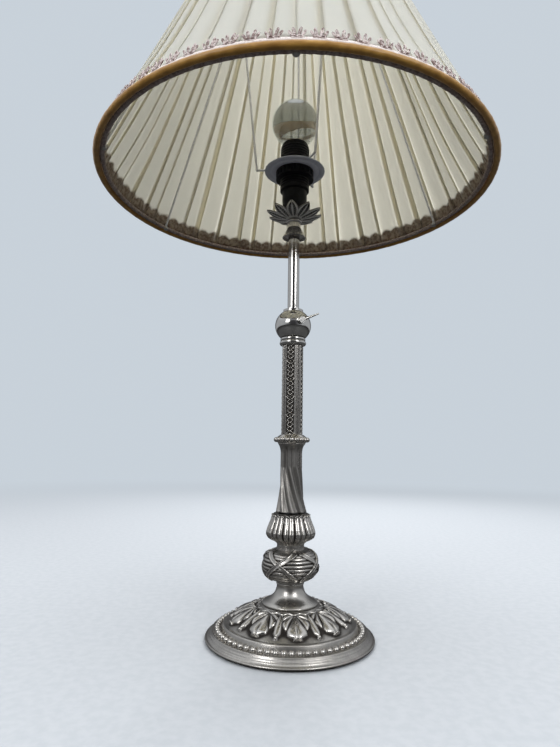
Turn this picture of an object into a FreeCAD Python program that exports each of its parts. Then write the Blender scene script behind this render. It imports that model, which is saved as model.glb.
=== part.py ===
import FreeCAD, Part
import math
import os
from FreeCAD import Vector

# Telescopic candlestick lamp. Millimetres, +Z up, standing on z = 0 around the Z axis.
# The front, the side that the photograph shows, faces -Y. Angles run from +X towards +Y.

# ---- fits and wall thicknesses ----
SEAT_GAP = 0.05          # between turned pieces that slip over each other
RUN_GAP = 0.08           # radial running clearance of the sliding and turning pieces
SHADE_PLAY = 0.15        # play of the shade's washer between its two nuts

# ---- foot ----
FOOT_RADIUS = 70.9
FOOT_WALL = 2.4
FOOT_EDGE_HEIGHT = 3.0
FOOT_EDGE_CHAMFER = 0.8
RIM_RUN = 4.1            # sloping rim between the upright edge and the bead ledge
RIM_RISE = 5.3
LEDGE_RISE = 0.7
BEAD_DIAMETER = 4.4
BEAD_COUNT = 64
BEAD_INSET = 6.1         # from the ledge's outer line to the bead centres
STEP_INSET = 5.3         # from the bead centres to the plain step
STEP_RISE = 4.0
LEAF_INSET = 4.6         # from the plain step to the leaf tips
LEAF_TIP_RISE = 1.6
LEAF_BAND_RISE = 13.0
LEAF_TOP_RADIUS = 25.4
LEAF_COUNT = 9           # broad leaves, with a narrow one between each two
LEAF_TURN = -82.5        # direction of the broad leaf nearest the front
LEAF_RELIEF = 1.6

# ---- stem pieces, from the foot upwards ----
TIE_RADIUS = 5.0
TIE_BORE = 3.8
TIE_BELOW_NUT = 3.0
NUT_ACROSS_FLATS = 14.0
NUT_HEIGHT = 5.0
TIE_WASHER_RADIUS = 10.5
TIE_WASHER_HEIGHT = 1.5

TRUMPET_HEIGHT = 17.6
TRUMPET_RIM_RADIUS = 23.5
TRUMPET_RIM_HEIGHT = 2.4
TRUMPET_NECK_RADIUS = 11.5
TRUMPET_RIM_ROUND = 1.0

KNOP_HEIGHT = 28.8
KNOP_RADIUS = 24.3
KNOP_NECK_RADIUS = 11.9
KNOP_REEDS = 6
KNOP_REED_DEPTH = 0.7
KNOP_BALL_SHARE = 0.42   # half height of the reeded ball, as a share of the knop's height
KNOP_REEDS_FROM = 78.0   # degrees below the belly where the reeds start
KNOP_FULLNESS = 0.8      # under 1 makes the ball squarer than round

PETAL_CUP_HEIGHT = 29.4
PETAL_CUP_RADIUS = 21.3
PETAL_CUP_NECK_RADIUS = 11.7
PETAL_CUP_FLOOR = 9.0    # threaded stretch on the tie tube
PETAL_COUNT = 24
PETAL_RELIEF = 1.3
PETAL_TURN = -101.0      # direction of the petal nearest the front

COLUMN_HEIGHT = 58.6
COLUMN_FOOT_RADIUS = 13.6
COLUMN_WAIST_RADIUS = 9.6
COLUMN_TOP_RADIUS = 12.0
COLUMN_FLUTES = 9
COLUMN_FLUTE_DEPTH = 0.9
COLUMN_TWIST = -60.0     # turn of the flutes, foot to top
COLUMN_TWIST_SHARE = 0.65  # share of the height where they twist; above it they run straight
COLUMN_TURN = -3.5       # direction of a ridge at the foot
COLUMN_SECTIONS = 24     # even steps up the height
COLUMN_WAIST_AT = 0.72   # share of the height where the foot's flare ends
COLUMN_FOOT_CURVE = 3.0  # a larger number draws the foot's flare in sooner
COLUMN_TOP_FROM = 0.84   # share of the height where the top's flare starts
COLUMN_TOP_CURVE = 2.5

COLLAR_HEIGHT = 7.6
COLLAR_RADIUS = 13.8
COLLAR_BEAD_DIAMETER = 4.4
COLLAR_BEAD_COUNT = 20

SLEEVE_HEIGHT = 80.4
SLEEVE_RADIUS = 9.2
SLEEVE_STRIP_COUNT = 4
SLEEVE_STRIP_ANGLE = 52.0
SLEEVE_STRIP_RELIEF = 0.6
SLEEVE_STRIP_PHASE = -102.0

FERRULE_HEIGHT = 7.4
FERRULE_RADIUS = 12.0
FERRULE_UPPER_RADIUS = 11.3
FERRULE_GROOVE = 1.1

CLAMP_HEIGHT = 25.8
CLAMP_RADIUS = 16.3
CLAMP_FOOT_RADIUS = 11.6
CLAMP_LIP_RADIUS = 9.0
CLAMP_BELLY_SHARE = 0.46
CLAMP_NECK_SHARE = 0.92

LINER_BORE = 6.5
LINER_WALL = 0.5

# ---- clamp lever ----
LEVER_ANGLE = -66.0      # direction of the screw's axis
LEVER_RISE = 25.0        # slope of the arm at rest, above level
LEVER_HEIGHT = 12.4      # screw axis above the clamp's foot
LEVER_LENGTH = 18.3
LEVER_ROOT_RADIUS = 1.5
LEVER_TIP_RADIUS = 0.6
LEVER_CLEARANCE = 0.7    # arm to ball
LEVER_HUB_RADIUS = 2.9
SCREW_RADIUS = 2.0
PAD_THICKNESS = 1.4

# ---- sliding rod ----
ROD_RADIUS = 5.25
ROD_BORE = 3.9
ROD_SHOWN = 69.4         # between the clamp's lip and the cup, as photographed
ROD_IN_STEM = 130.0      # hidden length below the clamp's lip
ROD_THREAD_RADIUS = 4.9
STOP_RING_HEIGHT = 3.0
SLIDER_HEIGHT = 9.0
GUIDE_HEIGHT = 19.0

CUP_HEIGHT = 17.6
CUP_RIM_RADIUS = 10.9
CUP_NECK_RADIUS = 6.0
CUP_COLLAR_RADIUS = 7.3
CUP_WALL = 1.2

ROSETTE_LEAVES = 10
ROSETTE_RADIUS = 26.4
ROSETTE_TIP_RISE = 7.5
ROSETTE_HUB_RADIUS = 9.0
ROSETTE_HUB_HEIGHT = 4.0
ROSETTE_LEAF_WIDTH = 9.6
ROSETTE_LEAF_THICKNESS = 1.2
ROSETTE_TURN = -96.0     # direction of the leaf nearest the front

# ---- lampholder ----
HOLDER_CAP_HEIGHT = 24.0
HOLDER_CAP_RADIUS = 11.6
HOLDER_BAND_RADIUS = 13.6
HOLDER_BAND_HEIGHT = 4.0
HOLDER_WALL = 1.6
HOLDER_CAP_TAPER = 1.2
HOLDER_BAND_SLOPE = 1.0
HOLDER_SLEEVE_HEIGHT = 43.9
HOLDER_SLEEVE_RADIUS = 13.7
HOLDER_LIP_RADIUS = 12.2
HOLDER_LIP_HEIGHT = 2.6
THREAD_PITCH = 2.5
THREAD_DEPTH = 0.5
LOWER_NUT_LIFT = 8.6     # above the holder cap
LOWER_NUT_RADIUS = 17.8
LOWER_NUT_HEIGHT = 7.6
UPPER_NUT_RADIUS = 16.6
UPPER_NUT_HEIGHT = 6.4
NUT_GRIPS = 24
NUT_GRIP_RADIUS = 0.85
NUT_GRIP_SHARE = 0.6     # share of the nut's height that the grips cover
SOCKET_RADIUS = 7.7
SOCKET_WALL = 0.4
SOCKET_MARGIN = 2.6      # room round the socket shell
SOCKET_HEIGHT = 19.0
BLOCK_HEIGHT = 14.0
BLOCK_GAP = 2.0          # wiring room between the cap's floor and the block
TERMINAL_RADIUS = 1.6
TERMINAL_BELOW_BLOCK = 1.0

# ---- bulb ----
BULB_RADIUS = 22.5
BULB_WALL = 0.7
BULB_CENTRE_RISE = 49.0  # above the bulb's contact
BULB_NECK_RADIUS = 8.2
BULB_NECK_ANGLE = -52.0  # where the globe runs over into its neck
BULB_NECK_INSET = 1.5
BULB_NECK_LIFT = 0.6
BULB_CAP_RADIUS = 6.9
BULB_CAP_HEIGHT = 21.0
BULB_CAP_PITCH = 2.8
BULB_CAP_TURNS = 5
BULB_CAP_THREAD_DEPTH = 0.5
BULB_CAP_THREAD_RISE = 2.5
BULB_CAP_SHOULDER = 2.2
BULB_CONTACT_RADIUS = 2.4
BULB_CONTACT_HEIGHT = 1.8
CENTRE_CONTACT_RISE = 1.0
MIRROR_WALL = 0.25
MIRROR_EDGE = -6.5       # lower edge of the mirror, from the bulb's centre
STEM_LENGTH = 10.0       # glass stem inside the bulb
STEM_FOOT_RADIUS = 4.0
STEM_TIP_RADIUS = 2.0
LEAD_RADIUS = 0.35
LEAD_SPREAD = 1.2
FILAMENT_RADIUS = 0.3
FILAMENT_HALF_LENGTH = 7.0
FILAMENT_BELOW_CENTRE = 3.0

# ---- shade carrier ----
WASHER_RADIUS = 28.6
WASHER_THICKNESS = 1.2
WASHER_BORE_PLAY = 0.8   # round the threaded sleeve
ARM_RADIUS = 1.05
ARM_COUNT = 3
ARM_BEND_RADIUS = 36.3
ARM_START_RADIUS = 19.0
ARM_FIRST_ANGLE = 60.0

# ---- shade ----
RIM_BELOW_WASHER = 15.2  # bottom ring below the carrier's washer
SHADE_HEIGHT = 252.0
BOTTOM_RING_RADIUS = 173.1
TOP_RING_RADIUS = 65.0
RING_WIRE_RADIUS = 2.1   # wire with its cloth tape
STRUT_WIRE_RADIUS = 1.1
STRUT_ANGLES = [-90.0, -29.5, 27.5, 88.0, 147.5, 203.5]
CLOTH_GAP = 0.3          # between the cloth and the wires or the piping
CLOTH_THICKNESS = 1.0
CLOTH_PULL = 5.0         # how far the tight cloth sinks between two struts
CLOTH_PULL_HEIGHT = 75.0
PLEAT_COUNT = 48
PLEAT_DEPTH = 1.5
PLEAT_FOLD_SHARE = 0.86  # share of a pleat's width up to its fold
PIPING_RADIUS = 2.8
PIPING_TILT = 6.0        # slope from a ring wire's centre to its piping's centre
BRAID_HEIGHT = 17.0
BRAID_THICKNESS = 0.9

# ---- cable inlet ----
INLET_BORE = 2.7
INLET_WALL = 0.7
INLET_FLANGE_RADIUS = 4.1
INLET_FLANGE_THICKNESS = 1.2
INLET_HEIGHT = 4.4
INLET_ANGLE = 90.0


# ---- shape helpers ----
def outline_face(points):
    """Face in the XZ plane. A pair is a straight step, four numbers an arc through and to."""
    edges = []
    here = points[0]
    for step in points[1:] + [points[0]]:
        there = step[-2:]
        start = Vector(here[0], 0, here[1])
        end = Vector(there[0], 0, there[1])
        if len(step) == 4:
            edges.append(Part.Arc(start, Vector(step[0], 0, step[1]), end).toShape())
        elif (end - start).Length > 1e-6:
            edges.append(Part.LineSegment(start, end).toShape())
        here = there
    return Part.Face(Part.Wire(edges))


def turned(points):
    return outline_face(points).revolve(Vector(0, 0, 0), Vector(0, 0, 1), 360)


def rod(radius, z_low, z_high):
    return Part.makeCylinder(radius, z_high - z_low, Vector(0, 0, z_low))


def tube(radius, bore, z_low, z_high):
    return rod(radius, z_low, z_high).cut(rod(bore, z_low - 1, z_high + 1))


def radial_rod(radius, r_low, r_high, angle, z):
    axis = Vector(math.cos(math.radians(angle)), math.sin(math.radians(angle)), 0)
    return Part.makeCylinder(radius, r_high - r_low, axis * r_low + Vector(0, 0, z), axis)


def around(shape, count, first=0.0):
    copies = []
    for index in range(count):
        copy = shape.copy()
        copy.rotate(Vector(0, 0, 0), Vector(0, 0, 1), first + 360.0 * index / count)
        copies.append(copy)
    return copies


def polar(radius, angle, z):
    turn = math.radians(angle)
    return Vector(radius * math.cos(turn), radius * math.sin(turn), z)


def lobed_wire(z, radius, depth, count, phase):
    points = []
    for index in range(count * 4):
        angle = 90.0 * index / count
        lobe = 0.5 - 0.5 * math.cos(math.radians(count * angle))
        points.append(polar(radius - depth * lobe, angle + phase, z))
    curve = Part.BSplineCurve()
    curve.interpolate(Points=points, PeriodicFlag=True)
    return Part.Wire([curve.toShape()])


def lobed_solid(sections, count, straight=False):
    """Solid through lobed sections, each given as height, radius, depth and turn."""
    wires = [lobed_wire(z, radius, depth, count, phase) for z, radius, depth, phase in sections]
    return Part.makeLoft(wires, True, straight)


def wire_bar(points, radius):
    """Bent wire of straight runs with a ball at each bend."""
    bars = []
    for start, end in zip(points, points[1:]):
        run = end - start
        bars.append(Part.makeCylinder(radius, run.Length, start, run))
    for bend in points[1:-1]:
        bars.append(Part.makeSphere(radius, bend))
    return bars[0].multiFuse(bars[1:]) if len(bars) > 1 else bars[0]


def hexagon(across_flats, z_low, z_high):
    corner = across_flats / math.sqrt(3)
    corners = [polar(corner, 60 * index, z_low) for index in range(6)]
    face = Part.Face(Part.makePolygon(corners + corners[:1]))
    return face.extrude(Vector(0, 0, z_high - z_low))


# ---- heights worked out from the pieces' own sizes ----
Z_RIM = FOOT_EDGE_HEIGHT + RIM_RISE
Z_LEDGE = Z_RIM + LEDGE_RISE
Z_STEP = Z_LEDGE + STEP_RISE
Z_LEAF_TIP = Z_STEP + LEAF_TIP_RISE
Z_TRUMPET = Z_LEAF_TIP + LEAF_BAND_RISE
Z_KNOP = Z_TRUMPET + TRUMPET_HEIGHT
Z_PETAL_CUP = Z_KNOP + KNOP_HEIGHT
Z_COLUMN = Z_PETAL_CUP + PETAL_CUP_HEIGHT
Z_COLLAR = Z_COLUMN + COLUMN_HEIGHT
Z_SLEEVE = Z_COLLAR + COLLAR_HEIGHT
Z_FERRULE = Z_SLEEVE + SLEEVE_HEIGHT
Z_CLAMP = Z_FERRULE + FERRULE_HEIGHT
Z_LIP = Z_CLAMP + CLAMP_HEIGHT
Z_LEVER = Z_CLAMP + LEVER_HEIGHT
Z_GUIDE = Z_LIP - GUIDE_HEIGHT
Z_ROD_END = Z_LIP - ROD_IN_STEM
Z_CUP = Z_LIP + ROD_SHOWN
Z_ROSETTE = Z_CUP + CUP_HEIGHT
Z_HOLDER = Z_ROSETTE + ROSETTE_TIP_RISE
Z_HOLDER_SLEEVE = Z_HOLDER + HOLDER_CAP_HEIGHT
Z_LOWER_NUT = Z_HOLDER_SLEEVE + LOWER_NUT_LIFT
Z_WASHER = Z_LOWER_NUT + LOWER_NUT_HEIGHT + SHADE_PLAY
Z_UPPER_NUT = Z_WASHER + WASHER_THICKNESS + SHADE_PLAY
Z_BOTTOM_RING = Z_WASHER - RIM_BELOW_WASHER
Z_TOP_RING = Z_BOTTOM_RING + SHADE_HEIGHT

LINER_RADIUS = LINER_BORE + LINER_WALL
STEM_BORE = LINER_RADIUS + SEAT_GAP
TIE_HOLE = TIE_RADIUS + SEAT_GAP
ROD_HOLE = ROD_RADIUS + RUN_GAP
Z_LINER = Z_PETAL_CUP + PETAL_CUP_FLOOR

BEAD_RING_RADIUS = FOOT_RADIUS - RIM_RUN - BEAD_INSET
STEP_RADIUS = BEAD_RING_RADIUS - STEP_INSET
LEAF_TIP_RADIUS = STEP_RADIUS - LEAF_INSET


# ---- foot and stem ----
def foot():
    rim_radius = FOOT_RADIUS - RIM_RUN
    body = turned([
        (0, 0),
        (FOOT_RADIUS - FOOT_EDGE_CHAMFER, 0),
        (FOOT_RADIUS, FOOT_EDGE_CHAMFER),
        (FOOT_RADIUS, FOOT_EDGE_HEIGHT),
        (rim_radius, Z_RIM),
        (rim_radius - LEDGE_RISE, Z_LEDGE),
        (BEAD_RING_RADIUS - BEAD_DIAMETER / 2, Z_LEDGE),
        (STEP_RADIUS, Z_STEP),
        (LEAF_TIP_RADIUS, Z_LEAF_TIP),
        (LEAF_TOP_RADIUS - LEAF_RELIEF, Z_LEAF_TIP + LEAF_BAND_RISE * 0.9),
        (LEAF_TOP_RADIUS - LEAF_RELIEF, Z_TRUMPET),
        (0, Z_TRUMPET),
    ])
    run = LEAF_TIP_RADIUS - LEAF_TOP_RADIUS
    bands = []
    for share in (0.0, 0.25, 0.5, 0.75, 1.0):
        swell = math.sin(math.pi * share)
        radius = LEAF_TIP_RADIUS - run * share + LEAF_RELIEF * swell
        height = Z_LEAF_TIP - LEAF_TIP_RISE * (share == 0.0) + LEAF_BAND_RISE * share
        bands.append((height, radius, LEAF_RELIEF * (0.2 + swell), LEAF_TURN))
    dome = lobed_solid(bands, 2 * LEAF_COUNT)
    bead_centre = Vector(BEAD_RING_RADIUS, 0, Z_LEDGE + BEAD_DIAMETER / 4)
    bead = Part.makeSphere(BEAD_DIAMETER / 2, bead_centre)
    beads = around(bead, BEAD_COUNT)
    hollow = turned([
        (0, -1),
        (FOOT_RADIUS - 2 * FOOT_WALL, -1),
        (FOOT_RADIUS - 2 * FOOT_WALL, FOOT_WALL),
        (FOOT_RADIUS - RIM_RUN - FOOT_WALL, Z_RIM - FOOT_WALL),
        (STEP_RADIUS - FOOT_WALL / 2, Z_LEDGE - FOOT_WALL / 2),
        (LEAF_TIP_RADIUS - FOOT_WALL, Z_STEP - FOOT_WALL),
        (LEAF_TOP_RADIUS - FOOT_WALL - LEAF_RELIEF, Z_TRUMPET - 2 * FOOT_WALL),
        (LEAF_TOP_RADIUS - 2 * FOOT_WALL - LEAF_RELIEF, Z_TRUMPET - FOOT_WALL),
        (0, Z_TRUMPET - FOOT_WALL),
    ])
    solid = body.multiFuse([dome] + beads)
    solid = solid.cut(hollow)
    solid = solid.cut(rod(TIE_HOLE, 0, Z_TRUMPET + 1))
    inlet_hole = INLET_BORE + INLET_WALL + SEAT_GAP
    inlet = radial_rod(inlet_hole, STEP_RADIUS, FOOT_RADIUS + 1, INLET_ANGLE, INLET_HEIGHT)
    return solid.cut(inlet)


def cable_inlet():
    length = 2 * FOOT_WALL + INLET_FLANGE_THICKNESS
    r_low = FOOT_RADIUS - 2 * FOOT_WALL
    r_high = r_low + length
    r_face = FOOT_RADIUS + SEAT_GAP
    bush = radial_rod(INLET_BORE + INLET_WALL, r_low, r_high, INLET_ANGLE, INLET_HEIGHT)
    flange = radial_rod(INLET_FLANGE_RADIUS, r_face, r_high, INLET_ANGLE, INLET_HEIGHT)
    bore = radial_rod(INLET_BORE, r_low - 1, r_high + 1, INLET_ANGLE, INLET_HEIGHT)
    return bush.fuse(flange).cut(bore)


def tie_washer():
    z_high = Z_TRUMPET - FOOT_WALL
    return tube(TIE_WASHER_RADIUS, TIE_HOLE, z_high - TIE_WASHER_HEIGHT, z_high)


def tie_nut():
    z_high = Z_TRUMPET - FOOT_WALL - TIE_WASHER_HEIGHT
    z_low = z_high - NUT_HEIGHT
    return hexagon(NUT_ACROSS_FLATS, z_low, z_high).cut(rod(TIE_HOLE, z_low - 1, z_high + 1))


def tie_tube():
    z_low = Z_TRUMPET - FOOT_WALL - TIE_WASHER_HEIGHT - NUT_HEIGHT - TIE_BELOW_NUT
    return tube(TIE_RADIUS, TIE_BORE, z_low, Z_LINER - SEAT_GAP)


def trumpet_foot():
    neck_z = Z_KNOP - TRUMPET_RIM_HEIGHT
    rim_top = Z_TRUMPET + TRUMPET_RIM_HEIGHT
    bow = (TRUMPET_RIM_RADIUS - TRUMPET_NECK_RADIUS) / 3
    mid = (TRUMPET_NECK_RADIUS + bow, (rim_top + neck_z) / 2)
    return turned([
        (TIE_HOLE, Z_TRUMPET),
        (TRUMPET_RIM_RADIUS - TRUMPET_RIM_ROUND, Z_TRUMPET),
        (TRUMPET_RIM_RADIUS, (Z_TRUMPET + rim_top) / 2, TRUMPET_RIM_RADIUS - TRUMPET_RIM_ROUND, rim_top),
        (mid[0], mid[1], TRUMPET_NECK_RADIUS, neck_z),
        (KNOP_NECK_RADIUS, Z_KNOP),
        (TIE_HOLE, Z_KNOP),
    ])


def knop():
    """Flattened ball whose outline is a row of small round reeds."""
    middle = Z_KNOP + KNOP_HEIGHT / 2
    height = KNOP_HEIGHT * KNOP_BALL_SHARE
    belly = KNOP_RADIUS - KNOP_NECK_RADIUS

    def on_ball(turn, lift):
        reach = KNOP_NECK_RADIUS + (belly + lift) * math.cos(turn) ** KNOP_FULLNESS
        return reach, middle + (height + lift) * math.sin(turn)

    steps = [(TIE_HOLE, Z_KNOP), (KNOP_NECK_RADIUS, Z_KNOP)]
    first = -math.radians(KNOP_REEDS_FROM)
    span = -2 * first / KNOP_REEDS
    steps.append(on_ball(first, -KNOP_REED_DEPTH))
    for reed in range(KNOP_REEDS):
        crest = on_ball(first + span * (reed + 0.5), 0.0)
        valley = on_ball(first + span * (reed + 1), -KNOP_REED_DEPTH)
        steps.append(crest + valley)
    steps.append((KNOP_NECK_RADIUS, Z_PETAL_CUP))
    steps.append((TIE_HOLE, Z_PETAL_CUP))
    return turned(steps)


# Share of the height, share of the swell from neck to belly, and share of the full relief.
PETAL_CUP_RISE = [(0.0, 0.0, 0.0), (0.08, 0.34, 0.4), (0.2, 0.86, 0.9), (0.34, 1.0, 1.0),
                  (0.5, 0.88, 0.95), (0.66, 0.62, 0.8), (0.82, 0.44, 0.6), (1.0, 0.3, 0.2)]


def petal_cup():
    sections = []
    for rise, swell, relief in PETAL_CUP_RISE:
        radius = PETAL_CUP_NECK_RADIUS + (PETAL_CUP_RADIUS - PETAL_CUP_NECK_RADIUS) * swell
        sections.append((Z_PETAL_CUP + PETAL_CUP_HEIGHT * rise, radius, PETAL_RELIEF * relief, PETAL_TURN))
    cup = lobed_solid(sections, PETAL_COUNT)
    cup = cup.cut(rod(TIE_HOLE, Z_PETAL_CUP - 1, Z_COLUMN + 1))
    return cup.cut(rod(STEM_BORE, Z_LINER, Z_COLUMN + 1))


def twisted_column():
    sections = []
    for index in range(COLUMN_SECTIONS + 1):
        rise = index / COLUMN_SECTIONS
        foot_flare = max(0.0, 1 - rise / COLUMN_WAIST_AT) ** COLUMN_FOOT_CURVE
        top_flare = max(0.0, (rise - COLUMN_TOP_FROM) / (1 - COLUMN_TOP_FROM)) ** COLUMN_TOP_CURVE
        radius = (COLUMN_WAIST_RADIUS + (COLUMN_FOOT_RADIUS - COLUMN_WAIST_RADIUS) * foot_flare
                  + (COLUMN_TOP_RADIUS - COLUMN_WAIST_RADIUS) * top_flare)
        turn = COLUMN_TURN + COLUMN_TWIST * min(rise / COLUMN_TWIST_SHARE, 1.0)
        sections.append((Z_COLUMN + COLUMN_HEIGHT * rise, radius, COLUMN_FLUTE_DEPTH, -turn))
    column = lobed_solid(sections, COLUMN_FLUTES, straight=True)
    column = column.mirror(Vector(0, 0, 0), Vector(0, 1, 0))    # flutes turn clockwise going up
    return column.cut(rod(STEM_BORE, Z_COLUMN - 1, Z_COLLAR + 1))


def beaded_collar():
    plate = turned([
        (STEM_BORE, Z_COLLAR),
        (COLUMN_TOP_RADIUS, Z_COLLAR),
        (COLLAR_RADIUS, Z_COLLAR + COLLAR_HEIGHT * 0.3),
        (COLLAR_RADIUS, Z_COLLAR + COLLAR_HEIGHT * 0.65),
        (SLEEVE_RADIUS + 1, Z_SLEEVE),
        (STEM_BORE, Z_SLEEVE),
    ])
    bead_centre = Vector(COLLAR_RADIUS, 0, Z_COLLAR + COLLAR_HEIGHT * 0.42)
    bead = Part.makeSphere(COLLAR_BEAD_DIAMETER / 2, bead_centre)
    return plate.multiFuse(around(bead, COLLAR_BEAD_COUNT))


def lattice_sleeve():
    sleeve = rod(SLEEVE_RADIUS, Z_SLEEVE, Z_FERRULE)
    strip = Part.makeCylinder(SLEEVE_RADIUS + SLEEVE_STRIP_RELIEF, SLEEVE_HEIGHT, Vector(0, 0, Z_SLEEVE),
                              Vector(0, 0, 1), SLEEVE_STRIP_ANGLE)
    strips = around(strip, SLEEVE_STRIP_COUNT, SLEEVE_STRIP_PHASE - SLEEVE_STRIP_ANGLE / 2)
    return sleeve.multiFuse(strips).cut(rod(STEM_BORE, Z_SLEEVE - 1, Z_FERRULE + 1))


def ferrule():
    groove_z = Z_FERRULE + FERRULE_HEIGHT * 0.55
    lower_z = Z_FERRULE + FERRULE_HEIGHT * 0.3
    upper_z = Z_FERRULE + FERRULE_HEIGHT * 0.78
    return turned([
        (STEM_BORE, Z_FERRULE),
        (FERRULE_RADIUS - FERRULE_GROOVE, Z_FERRULE),
        (FERRULE_RADIUS, lower_z, FERRULE_RADIUS - FERRULE_GROOVE, groove_z),
        (FERRULE_UPPER_RADIUS, upper_z, FERRULE_UPPER_RADIUS - FERRULE_GROOVE, Z_CLAMP),
        (STEM_BORE, Z_CLAMP),
    ])


def clamp_head():
    belly_z = Z_CLAMP + CLAMP_HEIGHT * CLAMP_BELLY_SHARE
    neck_z = Z_CLAMP + CLAMP_HEIGHT * CLAMP_NECK_SHARE
    lip = turned([
        (0, Z_CLAMP),
        (CLAMP_FOOT_RADIUS, Z_CLAMP),
        (CLAMP_RADIUS, belly_z, CLAMP_LIP_RADIUS, neck_z),
        (CLAMP_LIP_RADIUS, Z_LIP),
        (0, Z_LIP),
    ])
    head = lip.cut(rod(STEM_BORE, Z_CLAMP - 1, Z_LIP + 1))
    return head.cut(radial_rod(SCREW_RADIUS + RUN_GAP, 0, 2 * CLAMP_RADIUS, LEVER_ANGLE, Z_LEVER))


def guide_bush():
    bush = tube(LINER_RADIUS, ROD_HOLE, Z_GUIDE, Z_LIP)
    return bush.cut(radial_rod(SCREW_RADIUS + RUN_GAP, 0, 2 * CLAMP_RADIUS, LEVER_ANGLE, Z_LEVER))


def liner_tube():
    return tube(LINER_RADIUS, LINER_BORE, Z_LINER, Z_GUIDE - SEAT_GAP)


# ---- clamp lever with its brake pad ----
PAD_FACE = ROD_RADIUS + RUN_GAP
SCREW_END = PAD_FACE + PAD_THICKNESS + SEAT_GAP
ARM_PLANE = CLAMP_RADIUS + LEVER_CLEARANCE + LEVER_ROOT_RADIUS


def brake_pad():
    return radial_rod(SCREW_RADIUS, PAD_FACE, PAD_FACE + PAD_THICKNESS, LEVER_ANGLE, Z_LEVER)


def clamp_lever():
    screw = radial_rod(SCREW_RADIUS, SCREW_END, ARM_PLANE, LEVER_ANGLE, Z_LEVER)
    hub = radial_rod(LEVER_HUB_RADIUS, ARM_PLANE - LEVER_ROOT_RADIUS, ARM_PLANE + LEVER_ROOT_RADIUS * 1.4,
                     LEVER_ANGLE, Z_LEVER)
    side = polar(1.0, LEVER_ANGLE + 90, 0)
    slope = math.radians(LEVER_RISE)
    direction = side * math.cos(slope) + Vector(0, 0, math.sin(slope))
    start = polar(ARM_PLANE, LEVER_ANGLE, Z_LEVER)
    arm = Part.makeCone(LEVER_ROOT_RADIUS, LEVER_TIP_RADIUS, LEVER_LENGTH, start, direction)
    tip = Part.makeSphere(LEVER_TIP_RADIUS, start + direction * LEVER_LENGTH)
    return screw.multiFuse([hub, arm, tip])


# ---- sliding rod and head ----
def slider():
    z_low = Z_ROD_END + STOP_RING_HEIGHT + RUN_GAP
    return tube(LINER_BORE - RUN_GAP, ROD_HOLE, z_low, z_low + SLIDER_HEIGHT)


def inner_rod():
    z_thread_end = Z_HOLDER + HOLDER_WALL + 2
    shaft = rod(ROD_RADIUS, Z_ROD_END, Z_CUP)
    thread = rod(ROD_THREAD_RADIUS, Z_CUP, z_thread_end)
    return shaft.fuse(thread).cut(rod(ROD_BORE, Z_ROD_END - 1, z_thread_end + 1))


def stop_ring():
    return tube(LINER_BORE - RUN_GAP * 2, ROD_RADIUS + SEAT_GAP, Z_ROD_END, Z_ROD_END + STOP_RING_HEIGHT)


def head_cup():
    neck_z = Z_CUP + CUP_HEIGHT * 0.55
    collar_z = Z_CUP + CUP_HEIGHT * 0.78
    bore = ROD_THREAD_RADIUS + SEAT_GAP
    return turned([
        (bore, Z_CUP),
        (ROD_RADIUS, Z_CUP),
        (ROD_RADIUS, Z_CUP + CUP_WALL),
        (CUP_RIM_RADIUS - CUP_WALL, Z_CUP + CUP_WALL),
        (CUP_RIM_RADIUS - CUP_WALL, Z_CUP),
        (CUP_RIM_RADIUS, Z_CUP),
        (CUP_RIM_RADIUS * 0.82, Z_CUP + CUP_HEIGHT * 0.24, CUP_NECK_RADIUS, neck_z),
        (CUP_NECK_RADIUS, collar_z),
        (CUP_COLLAR_RADIUS, Z_CUP + CUP_HEIGHT * 0.88, CUP_NECK_RADIUS, Z_ROSETTE),
        (bore, Z_ROSETTE),
    ])


def rosette():
    bore = ROD_THREAD_RADIUS + SEAT_GAP
    hub_top = Z_ROSETTE + ROSETTE_HUB_HEIGHT
    hub = turned([
        (bore, Z_ROSETTE),
        (CUP_COLLAR_RADIUS, Z_ROSETTE),
        (ROSETTE_HUB_RADIUS, Z_ROSETTE + ROSETTE_HUB_HEIGHT / 2, CUP_COLLAR_RADIUS, hub_top),
        (bore, hub_top),
    ])
    run = ROSETTE_RADIUS - CUP_NECK_RADIUS
    rise = ROSETTE_TIP_RISE - ROSETTE_HUB_HEIGHT / 4
    length = math.hypot(run, rise)
    half = ROSETTE_LEAF_WIDTH / 2
    blade = Part.Face(Part.makePolygon([
        Vector(0, -half * 0.6, 0), Vector(length * 0.55, -half, 0), Vector(length, 0, 0),
        Vector(length * 0.55, half, 0), Vector(0, half * 0.6, 0), Vector(0, -half * 0.6, 0)]))
    leaf = blade.extrude(Vector(0, 0, ROSETTE_LEAF_THICKNESS))
    leaf.rotate(Vector(0, 0, 0), Vector(0, 1, 0), -math.degrees(math.atan2(rise, run)))
    leaf.translate(Vector(CUP_NECK_RADIUS, 0, Z_ROSETTE + ROSETTE_HUB_HEIGHT / 4))
    return hub.multiFuse(around(leaf, ROSETTE_LEAVES, ROSETTE_TURN))


# ---- lampholder ----
def holder_cap():
    bore = ROD_THREAD_RADIUS + SEAT_GAP
    band_z = Z_HOLDER_SLEEVE - HOLDER_BAND_HEIGHT
    inner = HOLDER_CAP_RADIUS - HOLDER_WALL
    boss = bore + HOLDER_WALL
    return turned([
        (bore, Z_ROSETTE + ROSETTE_HUB_HEIGHT),
        (boss, Z_ROSETTE + ROSETTE_HUB_HEIGHT),
        (boss, Z_HOLDER),
        (HOLDER_CAP_RADIUS - HOLDER_CAP_TAPER, Z_HOLDER),
        (HOLDER_CAP_RADIUS, Z_HOLDER + HOLDER_CAP_HEIGHT / 2),
        (HOLDER_CAP_RADIUS, band_z),
        (HOLDER_BAND_RADIUS, band_z + HOLDER_BAND_SLOPE),
        (HOLDER_BAND_RADIUS, Z_HOLDER_SLEEVE),
        (inner, Z_HOLDER_SLEEVE),
        (inner, Z_HOLDER + HOLDER_WALL),
        (bore, Z_HOLDER + HOLDER_WALL),
    ])


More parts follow.
